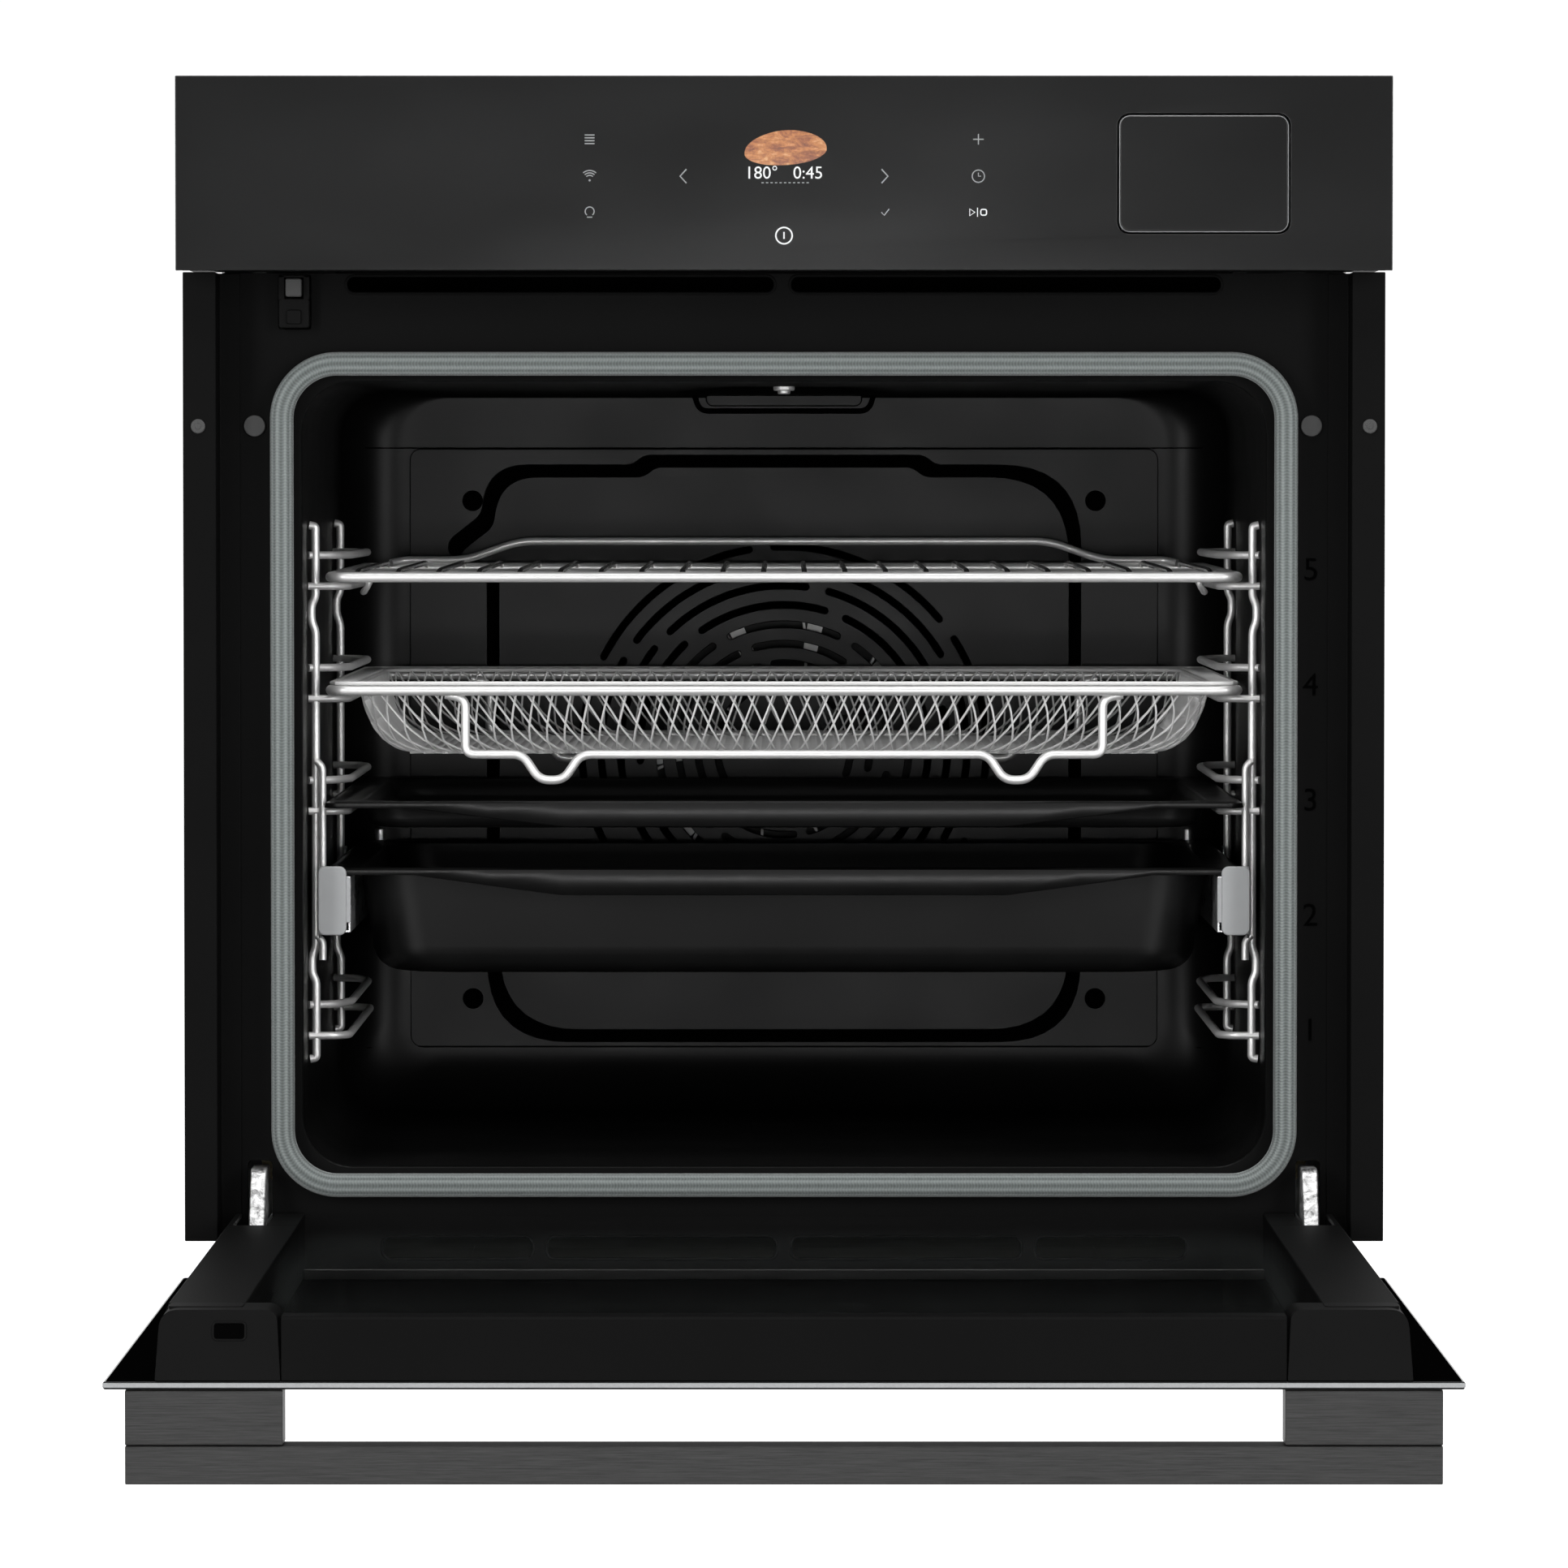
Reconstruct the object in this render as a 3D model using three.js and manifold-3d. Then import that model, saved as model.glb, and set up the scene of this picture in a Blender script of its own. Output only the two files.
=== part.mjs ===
// A built-in wall oven with its door folded down, in millimetres, +Z up.
// The oven faces -Y. The origin is the centre of the underside of its base plate.
import * as THREE from 'three';
import { mergeVertices } from 'three/addons/utils/BufferGeometryUtils.js';
import Module from 'manifold-3d';

const wasm = await Module();
wasm.setup();

// Driving dimensions. Inside the oven group y = 0 is the face of the kitchen cabinet.
const GAP = 0.3;
const SHEET = 1.2;
const FASCIA_HALF = 297.5;
const FASCIA_BOTTOM = 500;
const HEIGHT = 595;
const FRONT = -22;
const GLASS = 4;
const CHASSIS_HALF = 278;
const CHASSIS_TOP = 587;
const PLATE_FRONT = 26;
const CHASSIS_FRONT = 27.8;
const CHASSIS_BACK = 546;
const TRIM = { tip: 295.5, web: 280.4, heel: 269, front: -2.6, back: 25.7, foot: 22.4 };
const CHASSIS_CENTRE = (PLATE_FRONT + CHASSIS_BACK) / 2;

// The cavity, its seal and the cover over its fan.
const CAVITY_HALF = 239;
const CAVITY_FLOOR = 56.5;
const CAVITY_CEILING = 446.5;
const CAVITY_CORNER = 25;
const CAVITY_BACK = 436.3;
const WELL_BACK = 490;
const WELL = { half: 190, bottom: 104, top: 400, corner: 30 };
const FAN_HEIGHT = 252;
const REAR_PANEL_FRONT = 430;
const REAR_PANEL = { half: 203, bottom: 90, top: 415, corner: 20 };
const HEATER_DEPTH = 462;
const HEATER_RADIUS = 118;
const SEAL_HALF = 254;
const SEAL_BOTTOM = 42.5;
const SEAL_TOP = 460.8;
const SEAL_BAND = 11.6;
const SEAL_CORNER = 33;
const SEAL_FRONT = 13.4;

// The wire side racks, their five levels and what they carry.
const UPRIGHT_X = 235.5;
const RAIL_X = 219;
const RACK_FRONT = 80;
const RACK_BACK = 318;
const RACK_FOOT = 107;
const RACK_HEAD = 375;
const LEVEL_ONE = 118.7;
const LEVEL_PITCH = 56.45;
const GUIDE_RISE = 15.5;
const RACK_WIRE = 4;
const WIRED_LEVELS = [1, 3, 4, 5];
const FINE_WIRE_SIDES = 4;
const RUNNER_BOTTOM = 172;
const RUNNER_TOP = 200;
const RUNNER_FRONT = 56;
const RUNNER_BACK = 398;
const RUNNER_OUTER_X = 232.4;
const RUNNER_INNER_X = 216;
const SHELF_HALF = 229;
const SHELF_FRONT = 49;
const SHELF_BACK = 409;
const SHELF_WIRE = 5.2;
const SHELF_HEIGHT = 349.3;
const SHELF_CROSS_WIRES = 22;
const SHELF_CROSS_PITCH = 20.3;
const GUARD_HEIGHT = 365;
const BASKET_HEIGHT = 292.8;
const STAND_HEIGHT = 257.3;
const FOOT_HEIGHT = 248.7;

// The door lies open: its outer glass is its underside. It turns about this axis.
const PIVOT_Y = -3.75;
const PIVOT_Z = 18.25;
const DOOR_FRONT = -482;
const DOOR_HEEL = 11;
const OUTER_GLASS_HEEL = 6;
const OUTER_GLASS = 3.5;
const PROFILE_INNER = 237;
const PROFILE_OUTER = 275;
const DOOR_INNER_FACE = 35;
const CAP_DEPTH = 33;
const HANDLE_HALF = 288;
const HANDLE_OPENING_HALF = 219;
const HANDLE_DEPTH = 20;

// The water tank behind its push-to-open front.
const TANK = { left: 164.2, right: 246.4, bottom: 519, top: 575.4, corner: 5 };

const FINISHES = {
  black_glass: { color: 0x0b0c0d, roughness: 0.12, metalness: 0 },
  clear_glass: { color: 0x20262a, roughness: 0.05, metalness: 0, transparent: true, opacity: 0.25 },
  black_enamel: { color: 0x101112, roughness: 0.35, metalness: 0 },
  dark_paint: { color: 0x17181a, roughness: 0.5, metalness: 0 },
  black_steel: { color: 0x3c3d3f, roughness: 0.4, metalness: 0.9 },
  zinc: { color: 0xa9adb0, roughness: 0.45, metalness: 0.9 },
  bright_steel: { color: 0xc9ccce, roughness: 0.25, metalness: 1 },
  braid: { color: 0x5f6866, roughness: 0.9, metalness: 0 },
  wool: { color: 0xc9bf9a, roughness: 1, metalness: 0 },
  dark_plastic: { color: 0x1b1c1e, roughness: 0.55, metalness: 0 },
  grey_plastic: { color: 0x9a9fa2, roughness: 0.5, metalness: 0 },
  aluminium: { color: 0xb9bcbe, roughness: 0.35, metalness: 0.9 },
};

const oven = new THREE.Group();
oven.position.y = -CHASSIS_CENTRE;

// ---- Tools: a geometry becomes a solid, solids join or cut, and a solid becomes a named mesh.

function solid(geometry) {
  const bare = geometry.clone();
  bare.deleteAttribute('normal');
  bare.deleteAttribute('uv');
  const merged = mergeVertices(bare, 1e-4);
  return new wasm.Manifold(new wasm.Mesh({
    numProp: 3,
    vertProperties: new Float32Array(merged.attributes.position.array),
    triVerts: new Uint32Array(merged.index.array),
  }));
}

function join(...solids) {
  return solids.reduce((whole, piece) => whole.add(piece));
}

function cut(whole, ...cutters) {
  return cutters.reduce((left, cutter) => left.subtract(cutter), whole);
}

function add(name, finish, shape) {
  const { vertProperties, triVerts } = shape.getMesh();
  const geometry = new THREE.BufferGeometry();
  geometry.setAttribute('position', new THREE.BufferAttribute(new Float32Array(vertProperties), 3));
  geometry.setIndex(new THREE.BufferAttribute(new Uint32Array(triVerts), 1));
  geometry.computeVertexNormals();
  const mesh = new THREE.Mesh(geometry, new THREE.MeshStandardMaterial(FINISHES[finish]));
  mesh.name = name;
  oven.add(mesh);
}

// Adds a left piece and its mirror image on the right. build(side) takes side -1 or 1.
function addPair(name, finish, build) {
  add(`${name}_left`, finish, build(-1));
  add(`${name}_right`, finish, build(1));
}

// ---- Shapes.

function block(x0, x1, y0, y1, z0, z1) {
  const geometry = new THREE.BoxGeometry(Math.abs(x1 - x0), y1 - y0, z1 - z0);
  geometry.translate((x0 + x1) / 2, (y0 + y1) / 2, (z0 + z1) / 2);
  return solid(geometry);
}

function roundedRectangle(x0, x1, y0, y1, radius) {
  const shape = new THREE.Shape();
  shape.moveTo(x0 + radius, y0);
  shape.lineTo(x1 - radius, y0);
  shape.absarc(x1 - radius, y0 + radius, radius, -Math.PI / 2, 0);
  shape.lineTo(x1, y1 - radius);
  shape.absarc(x1 - radius, y1 - radius, radius, 0, Math.PI / 2);
  shape.lineTo(x0 + radius, y1);
  shape.absarc(x0 + radius, y1 - radius, radius, Math.PI / 2, Math.PI);
  shape.lineTo(x0, y0 + radius);
  shape.absarc(x0 + radius, y0 + radius, radius, Math.PI, Math.PI * 1.5);
  return shape;
}

function polygon(points) {
  return new THREE.Shape(points.map(([u, v]) => new THREE.Vector2(u, v)));
}

function extrude(shape, depth, curveSegments = 5) {
  return new THREE.ExtrudeGeometry(shape, { depth, bevelEnabled: false, curveSegments });
}

// A shape drawn in x and z, carried along y.
function prismY(shape, y0, y1, curveSegments) {
  const geometry = extrude(shape, y1 - y0, curveSegments);
  geometry.rotateX(Math.PI / 2);
  geometry.translate(0, y1, 0);
  return solid(geometry);
}

// A shape drawn in x and y, carried along z.
function prismZ(shape, z0, z1, curveSegments) {
  const geometry = extrude(shape, z1 - z0, curveSegments);
  geometry.translate(0, 0, z0);
  return solid(geometry);
}

// A shape drawn in y and z, carried along x.
function prismX(shape, x0, x1, curveSegments) {
  const geometry = extrude(shape, x1 - x0, curveSegments);
  geometry.applyMatrix4(new THREE.Matrix4().set(0, 0, 1, x0, 1, 0, 0, 0, 0, 1, 0, 0, 0, 0, 0, 1));
  return solid(geometry);
}

// A round bar between two points.
function bar(from, to, diameter, sides = 6) {
  const a = new THREE.Vector3(...from);
  const b = new THREE.Vector3(...to);
  const length = a.distanceTo(b);
  const geometry = new THREE.CylinderGeometry(diameter / 2, diameter / 2, length, sides);
  const turn = new THREE.Quaternion().setFromUnitVectors(
    new THREE.Vector3(0, 1, 0), b.clone().sub(a).normalize());
  geometry.applyQuaternion(turn);
  const middle = a.clone().add(b).multiplyScalar(0.5);
  geometry.translate(middle.x, middle.y, middle.z);
  return solid(geometry);
}

// A bent wire through the points, each straight run a little longer so that the corners close.
function wire(points, diameter, sides = 6) {
  const runs = points.slice(1).map((end, i) => {
    const a = new THREE.Vector3(...points[i]);
    const b = new THREE.Vector3(...end);
    const overrun = b.clone().sub(a).normalize().multiplyScalar(diameter * 0.4);
    if (i > 0) a.sub(overrun);
    if (i < points.length - 2) b.add(overrun);
    return bar(a.toArray(), b.toArray(), diameter, sides);
  });
  return join(...runs);
}

// A closed rectangular loop of wire lying flat.
function flatLoop(halfWidth, y0, y1, z, diameter) {
  const reach = halfWidth + diameter / 2;
  const across = [y0, y1].map((y) => bar([-reach, y, z], [reach, y, z], diameter));
  const along = [-halfWidth, halfWidth].map((x) => bar([x, y0, z], [x, y1, z], diameter));
  return join(...across, ...along);
}

// A tray body: a rounded rectangle whose walls lean out, from its bottom to its top.
function pan(bottomHalf, topHalf, y0, y1, bottom, top, radius) {
  const lean = topHalf - bottomHalf;
  const middle = (y0 + y1) / 2;
  const outline = roundedRectangle(-topHalf, topHalf, y0 - middle, y1 - middle, radius);
  const body = extrude(outline, top - bottom, 4);
  const position = body.attributes.position;
  for (let i = 0; i < position.count; i += 1) {
    if (position.getZ(i) > 0) continue;
    position.setX(i, position.getX(i) * (1 - lean / topHalf));
    position.setY(i, position.getY(i) * (1 - (2 * lean) / (y1 - y0)));
  }
  body.translate(0, middle, bottom);
  return solid(body);
}

// ---- Chassis: galvanised sheet round everything, with the dark plate and trims in front.

function addCasing() {
  const bottom = SHEET + GAP;
  add('base_plate', 'zinc', block(-CHASSIS_HALF, CHASSIS_HALF, PLATE_FRONT, CHASSIS_BACK, 0, SHEET));
  addPair('side_panel', 'zinc', (side) => block(side * (CHASSIS_HALF - SHEET), side * CHASSIS_HALF,
    CHASSIS_FRONT, CHASSIS_BACK - SHEET - GAP, bottom, CHASSIS_TOP - SHEET - GAP));
  const vents = [-160, -80, 0, 80, 160].map((x) => block(x - 28, x + 28, 500, 560, 520, 526));
  const cableHole = block(178, 222, 500, 560, 60, 92);
  const back = block(-CHASSIS_HALF, CHASSIS_HALF, CHASSIS_BACK - SHEET, CHASSIS_BACK,
    bottom, CHASSIS_TOP - SHEET - GAP);
  add('back_cover', 'zinc', cut(back, ...vents, cableHole));
  add('top_cover', 'zinc', block(-CHASSIS_HALF, CHASSIS_HALF, CHASSIS_FRONT, CHASSIS_BACK,
    CHASSIS_TOP - SHEET, CHASSIS_TOP));
}

function slot(x0, x1, z0, z1) {
  const radius = Math.min(z1 - z0, x1 - x0) / 2 - 0.1;
  return prismY(roundedRectangle(x0, x1, z0, z1, radius), 0, 60, 3);
}

function addFrontFrame() {
  const plate = block(-CHASSIS_HALF, CHASSIS_HALF, PLATE_FRONT, PLATE_FRONT + SHEET,
    SHEET + GAP, FASCIA_BOTTOM);
  const opening = prismY(roundedRectangle(-CAVITY_HALF, CAVITY_HALF, CAVITY_FLOOR, CAVITY_CEILING,
    CAVITY_CORNER), 0, 60);
  const airSlots = [
    slot(-216.7, -4.4, 489.9, 498.7), slot(2.8, 216.7, 489.9, 498.7),
    slot(-199.6, -124.5, 11, 22.3), slot(-118, -3.4, 11, 22.3),
    slot(3.4, 118, 11, 22.3), slot(124.5, 199.6, 11, 22.3),
  ];
  const lockHole = block(-250, -234, 0, 60, 472.2, 499);
  const hingeHoles = [-1, 1].map((side) => block(side * 254, side * 266, 0, 60, 28, 60));
  add('front_frame', 'dark_paint', cut(plate, opening, ...airSlots, lockHole, ...hingeHoles));
}

function addTrims() {
  addPair('trim', 'dark_paint', (side) => {
    const { tip, web, heel, front, back } = TRIM;
    const outline = [[tip, front], [tip, -0.2], [web, -0.2], [web, back], [heel, back],
      [heel, back - 1.3], [web - SHEET, back - 1.3], [web - SHEET, front]];
    return prismZ(polygon(outline.map(([x, y]) => [side * x, y]).reverse()), TRIM.foot,
      FASCIA_BOTTOM - GAP);
  });
}

function tankOutline(margin, radius) {
  return roundedRectangle(TANK.left - margin, TANK.right + margin, TANK.bottom - margin,
    TANK.top + margin, radius);
}

function addFascia() {
  const glass = block(-FASCIA_HALF, FASCIA_HALF, FRONT, FRONT + GLASS, FASCIA_BOTTOM, HEIGHT);
  add('control_fascia', 'black_glass', cut(glass, prismY(tankOutline(SHEET, 6), FRONT - 5, FRONT + 9, 3)));
  const supportFront = FRONT + GLASS + GAP;
  const supportBack = PLATE_FRONT - 0.5;
  const tray = block(-292, 292, supportFront, supportBack, FASCIA_BOTTOM + 2, HEIGHT - 3);
  const hollow = block(-290, 290, supportFront - 5, supportBack - 2, FASCIA_BOTTOM + 4, HEIGHT - 5);
  const tankHole = block(160, 251, 0, 60, 514, 580);
  const cableSlot = block(-60, 60, 0, 60, 560, 575);
  add('fascia_support', 'dark_plastic', cut(tray, hollow, tankHole, cableSlot));
  add('display_module', 'dark_plastic', block(-34, 34, supportFront, supportFront + 9, 538, 576));
}

// ---- Cavity: an enamelled wrap, a back with the fan's well, and the cover over the well.

function cavityOutline(grow) {
  return roundedRectangle(-CAVITY_HALF - grow, CAVITY_HALF + grow, CAVITY_FLOOR - grow,
    CAVITY_CEILING + grow, CAVITY_CORNER + grow);
}

function wellOutline(grow) {
  return roundedRectangle(-WELL.half - grow, WELL.half + grow, WELL.bottom - grow, WELL.top + grow,
    WELL.corner + grow);
}

function addCavity() {
  const wrapFront = PLATE_FRONT + SHEET + GAP;
  add('cavity_wrap', 'black_enamel', cut(prismY(cavityOutline(SHEET), wrapFront, CAVITY_BACK - GAP),
    prismY(cavityOutline(0), wrapFront - 1, CAVITY_BACK)));
  const plate = prismY(cavityOutline(SHEET), CAVITY_BACK, CAVITY_BACK + SHEET);
  const well = prismY(wellOutline(SHEET), CAVITY_BACK + 0.2, WELL_BACK + SHEET);
  const hollow = prismY(wellOutline(0), CAVITY_BACK - 1, WELL_BACK);
  const shaftHole = bar([0, 400, FAN_HEIGHT], [0, 520, FAN_HEIGHT], 14, 12);
  add('cavity_back', 'black_enamel', cut(join(plate, well), hollow, shaftHole));
}

// One slot of the fan grille, along an arc. Angles are in degrees.
function arcSlot(radius, width, from, to) {
  const start = THREE.MathUtils.degToRad(from);
  const end = THREE.MathUtils.degToRad(to);
  const shape = new THREE.Shape();
  shape.absarc(0, FAN_HEIGHT, radius + width / 2, start, end, false);
  shape.absarc(0, FAN_HEIGHT, radius - width / 2, end, start, true);
  return prismY(shape, REAR_PANEL_FRONT - 5, REAR_PANEL_FRONT + 12, 3);
}

function addRearPanel() {
  const front = REAR_PANEL_FRONT;
  const outline = (inset, radius) => roundedRectangle(-REAR_PANEL.half + inset, REAR_PANEL.half - inset,
    REAR_PANEL.bottom + inset, REAR_PANEL.top - inset, radius);
  const cover = prismY(outline(0, REAR_PANEL.corner), front, CAVITY_BACK - GAP, 4);
  const hollow = prismY(outline(SHEET, REAR_PANEL.corner - 1), front + SHEET, CAVITY_BACK, 4);
  const slots = [];
  for (let ring = 0; ring < 4; ring += 1) {
    for (let i = 0; i < 6; i += 1) {
      const from = 100 + ring * 17.6 + i * 60;
      slots.push(arcSlot(104.6 - ring * 21.3, 10, from, from + 52));
    }
  }
  add('rear_panel', 'black_enamel', cut(cover, hollow, ...slots));
}

function addInsulation() {
  const outer = roundedRectangle(-266, 266, 28, 474, 45);
  const inner = roundedRectangle(-242, 242, 44, 458, 25);
  add('insulation', 'wool', cut(prismY(outer, 76, 426), prismY(inner, 70, 430)));
}

function addSeal() {
  const outline = (inset) => roundedRectangle(-SEAL_HALF + inset, SEAL_HALF - inset,
    SEAL_BOTTOM + inset, SEAL_TOP - inset, SEAL_CORNER - inset);
  const back = PLATE_FRONT - GAP;
  add('door_seal', 'braid', cut(prismY(outline(0), SEAL_FRONT, back),
    prismY(outline(SEAL_BAND), SEAL_FRONT - 1, back + 1)));
}

// ---- Heaters, fans, steam and electrics.

function addHeaters() {
  const ring = new THREE.TorusGeometry(HEATER_RADIUS, 3.2, 6, 28);
  ring.rotateX(Math.PI / 2);
  ring.translate(0, HEATER_DEPTH, FAN_HEIGHT);
  const legHeight = FAN_HEIGHT + HEATER_RADIUS - 1;
  const legs = [-12, 12].map((x) => bar([x, HEATER_DEPTH, legHeight], [x, WELL_BACK - GAP, legHeight], 6));
  add('ring_element', 'bright_steel', join(solid(ring), ...legs));
  const loop = (z) => wire([[-150, 400, z], [-150, 110, z], [150, 110, z], [150, 400, z]], 6.4);
  add('top_element', 'bright_steel', loop(CAVITY_CEILING + SHEET + 4));
  add('bottom_element', 'bright_steel', loop(CAVITY_FLOOR - SHEET - 4));
}

// A wheel of flat blades on a disc, turning about y through the fan's centre.
function addConvectionFan() {
  const disc = bar([0, 468, FAN_HEIGHT], [0, 469.5, FAN_HEIGHT], 150, 24);
  const shaft = bar([0, 446, FAN_HEIGHT], [0, 500, FAN_HEIGHT], 8, 12);
  const blades = [];
  for (let i = 0; i < 10; i += 1) {
    const blade = new THREE.BoxGeometry(1.5, 26, 36);
    blade.translate(0, 455.4, 52);
    blade.rotateY((i * Math.PI) / 5);
    blade.translate(0, 0, FAN_HEIGHT);
    blades.push(solid(blade));
  }
  add('convection_fan', 'bright_steel', join(disc, shaft, ...blades));
  const motor = bar([0, WELL_BACK + SHEET + GAP, FAN_HEIGHT], [0, 540, FAN_HEIGHT], 84, 20);
  const bore = bar([0, 470, FAN_HEIGHT], [0, 502, FAN_HEIGHT], 8.9, 12);
  add('fan_motor', 'zinc', cut(motor, bore));
}

// The cooling blower lies flat over the cavity: air in from above, out towards the front.
function addCoolingBlower() {
  const [x, y] = [-70, 330];
  const floor = 484;
  const shell = join(bar([x, y, floor], [x, y, floor + 62], 170, 24),
    block(x - 85, x - 5, y - 150, y, floor, floor + 62));
  const inside = join(bar([x, y, floor + 2], [x, y, floor + 60], 166, 24),
    block(x - 83, x - 7, y - 160, y, floor + 2, floor + 60));
  const inlet = bar([x, y, floor + 50], [x, y, floor + 70], 100, 20);
  const hub = bar([x, y, floor + 1], [x, y, floor + 22], 36, 12);
  add('blower_housing', 'zinc', join(cut(shell, inside, inlet), hub));
  const wheel = [bar([x, y, floor + 24], [x, y, floor + 26], 140, 24)];
  for (let i = 0; i < 12; i += 1) {
    const blade = new THREE.BoxGeometry(18, 1.5, 28);
    blade.translate(58, 0, floor + 39.8);
    blade.rotateZ((i * Math.PI) / 6);
    blade.translate(x, y, 0);
    wheel.push(solid(blade));
  }
  add('blower_wheel', 'bright_steel', join(...wheel));
}

function addSteamAndElectrics() {
  add('steam_generator', 'aluminium', join(bar([200, 380, 486], [200, 380, 560], 96, 20),
    block(192, 208, 310, 336, 520, 536)));
  add('control_box', 'grey_plastic', block(-262, -166, 120, 300, 486, 560));
  const sleeve = block(161, 250, PLATE_FRONT, 300, 515.6, 579);
  const inside = block(163, 248, 0, 298, 517.6, 577);
  add('tank_sleeve', 'grey_plastic', cut(sleeve, inside));
  add('mains_terminal', 'dark_plastic', join(block(180, 220, 516, 549, 62, 90),
    block(172, 228, 546.3, 549, 54, 98)));
}

function addWaterTank() {
  add('tank_front', 'black_glass', prismY(tankOutline(0, TANK.corner), FRONT, FRONT + 4.5, 3));
  const body = block(TANK.left + 1, TANK.right - 1, FRONT + 4.8, 280, TANK.bottom + 1, TANK.top - 1);
  const water = block(TANK.left + 3, TANK.right - 3, FRONT + 7, 278, TANK.bottom + 3, TANK.top - 3);
  const filler = block(TANK.left + 20, TANK.right - 20, 20, 60, TANK.top - 10, TANK.top + 5);
  add('tank_body', 'grey_plastic', cut(body, water, filler));
}

function addLock() {
  const housing = block(-249.6, -234.4, 18, 62, 472.6, 498.7);
  const guide = block(-246.4, -237.6, 10, 56, 487.6, 497.4);
  add('lock_housing', 'dark_plastic', cut(housing, guide));
  add('lock_plunger', 'grey_plastic', block(-246, -238, 13.6, 50, 488, 497));
}

// ---- Side racks and the telescopic runners at the second level.

function addSideRacks() {
  addPair('side_rack', 'bright_steel', (side) => {
    const wall = CAVITY_HALF - GAP;
    const runs = [RACK_FRONT, RACK_BACK].map((y) => wire([
      [side * wall, y, RACK_FOOT], [side * UPRIGHT_X, y, RACK_FOOT],
      [side * UPRIGHT_X, y, RACK_HEAD], [side * wall, y, RACK_HEAD]], RACK_WIRE, FINE_WIRE_SIDES));
    WIRED_LEVELS.forEach((level) => {
      const z = LEVEL_ONE + LEVEL_PITCH * (level - 1);
      const rail = (front, back, height) => wire([
        [side * UPRIGHT_X, RACK_FRONT, height], [side * RAIL_X, front, height],
        [side * RAIL_X, back, height], [side * UPRIGHT_X, RACK_BACK, height]], RACK_WIRE, FINE_WIRE_SIDES);
      runs.push(rail(RACK_FRONT, RACK_BACK, z), rail(RACK_FRONT + 24, RACK_BACK - 24, z + GUIDE_RISE));
    });
    return join(...runs);
  });
}

// A C section open towards one side, carried along y.
function channel(side, open, closed, y0, y1) {
  const wall = 1.4 * Math.sign(closed - open);
  const [bottom, top] = [RUNNER_BOTTOM, RUNNER_TOP];
  const outline = [[open, bottom], [closed, bottom], [closed, top], [open, top], [open, top - SHEET],
    [closed - wall, top - SHEET], [closed - wall, bottom + SHEET], [open, bottom + SHEET]];
  return prismY(polygon(outline.map(([x, z]) => [side * x, z])), y0, y1);
}

function addRunners() {
  const clip = (side, y) => block(side * (RUNNER_OUTER_X - 0.4), side * (RUNNER_OUTER_X + 0.8),
    y - 9, y + 9, RUNNER_BOTTOM - 4, RUNNER_TOP + 4);
  addPair('outer_runner', 'zinc', (side) => join(
    channel(side, 226, RUNNER_OUTER_X, RUNNER_FRONT, RUNNER_BACK),
    clip(side, RACK_FRONT), clip(side, RACK_BACK)));
  addPair('mid_runner', 'zinc', (side) => block(side * 217.8, side * 230.6, RUNNER_FRONT, RUNNER_BACK,
    RUNNER_BOTTOM + 1.6, RUNNER_TOP - 1.6));
  addPair('inner_runner', 'zinc', (side) => {
    const back = RUNNER_BACK + 2;
    const endCap = block(side * RUNNER_INNER_X, side * RUNNER_OUTER_X, RUNNER_FRONT - 7.5,
      RUNNER_FRONT - 3.8, RUNNER_BOTTOM - 1.3, RUNNER_TOP + 5.1);
    const pin = bar([side * 218, back, RUNNER_TOP - 1], [side * 218, back, RUNNER_TOP + 10.7], 6, 8);
    return join(channel(side, 224.6, RUNNER_INNER_X, RUNNER_FRONT - 4, back), endCap, pin);
  });
}

// ---- Shelf, basket and trays.

function addWireShelf() {
  const z = SHELF_HEIGHT;
  const half = SHELF_HALF - SHELF_WIRE / 2;
  const front = SHELF_FRONT + SHELF_WIRE / 2;
  const back = SHELF_BACK - SHELF_WIRE / 2;
  const pieces = [flatLoop(half, front, back, z, SHELF_WIRE)];
  for (let i = 0; i < SHELF_CROSS_WIRES; i += 1) {
    const x = (i - (SHELF_CROSS_WIRES - 1) / 2) * SHELF_CROSS_PITCH;
    pieces.push(bar([x, front, z + 3.4], [x, back, z + 3.4], 3, FINE_WIRE_SIDES));
  }
  const guard = [[-209, z + 2], [-174, z + 6], [-143, GUARD_HEIGHT],
    [143, GUARD_HEIGHT], [174, z + 6], [209, z + 2]];
  pieces.push(wire(guard.map(([x, height]) => [x, back - 1, height]), 4));
  add('wire_shelf', 'bright_steel', join(...pieces));
}

function addBasket() {
  const z = BASKET_HEIGHT;
  const front = SHELF_FRONT + SHELF_WIRE / 2;
  const back = SHELF_BACK - SHELF_WIRE / 2;
  const foot = (x) => [[x - 13.5, STAND_HEIGHT], [x - 6, FOOT_HEIGHT],
    [x + 6, FOOT_HEIGHT], [x + 13.5, STAND_HEIGHT]];
  const stand = [[-159, z], [-159, STAND_HEIGHT], ...foot(-116), ...foot(116),
    [159, STAND_HEIGHT], [159, z]];
  const stands = [front + 4.4, back - 4.4].map((y) => wire(stand.map(([x, height]) => [x, y, height]), 4.5));
  add('basket_frame', 'bright_steel', join(
    flatLoop(SHELF_HALF - SHELF_WIRE / 2, front, back, z, SHELF_WIRE), ...stands));
  const flange = prismZ(roundedRectangle(-227, 227, 51, 407, 8), 295.7, 296.7, 3);
  const outside = pan(198, 214, 62, 396, 260.3, 296.2, 20);
  const inside = pan(197, 213, 63, 395, 261.4, 299, 19);
  add('basket_mesh', 'bright_steel', cut(join(flange, outside), inside));
}

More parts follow.
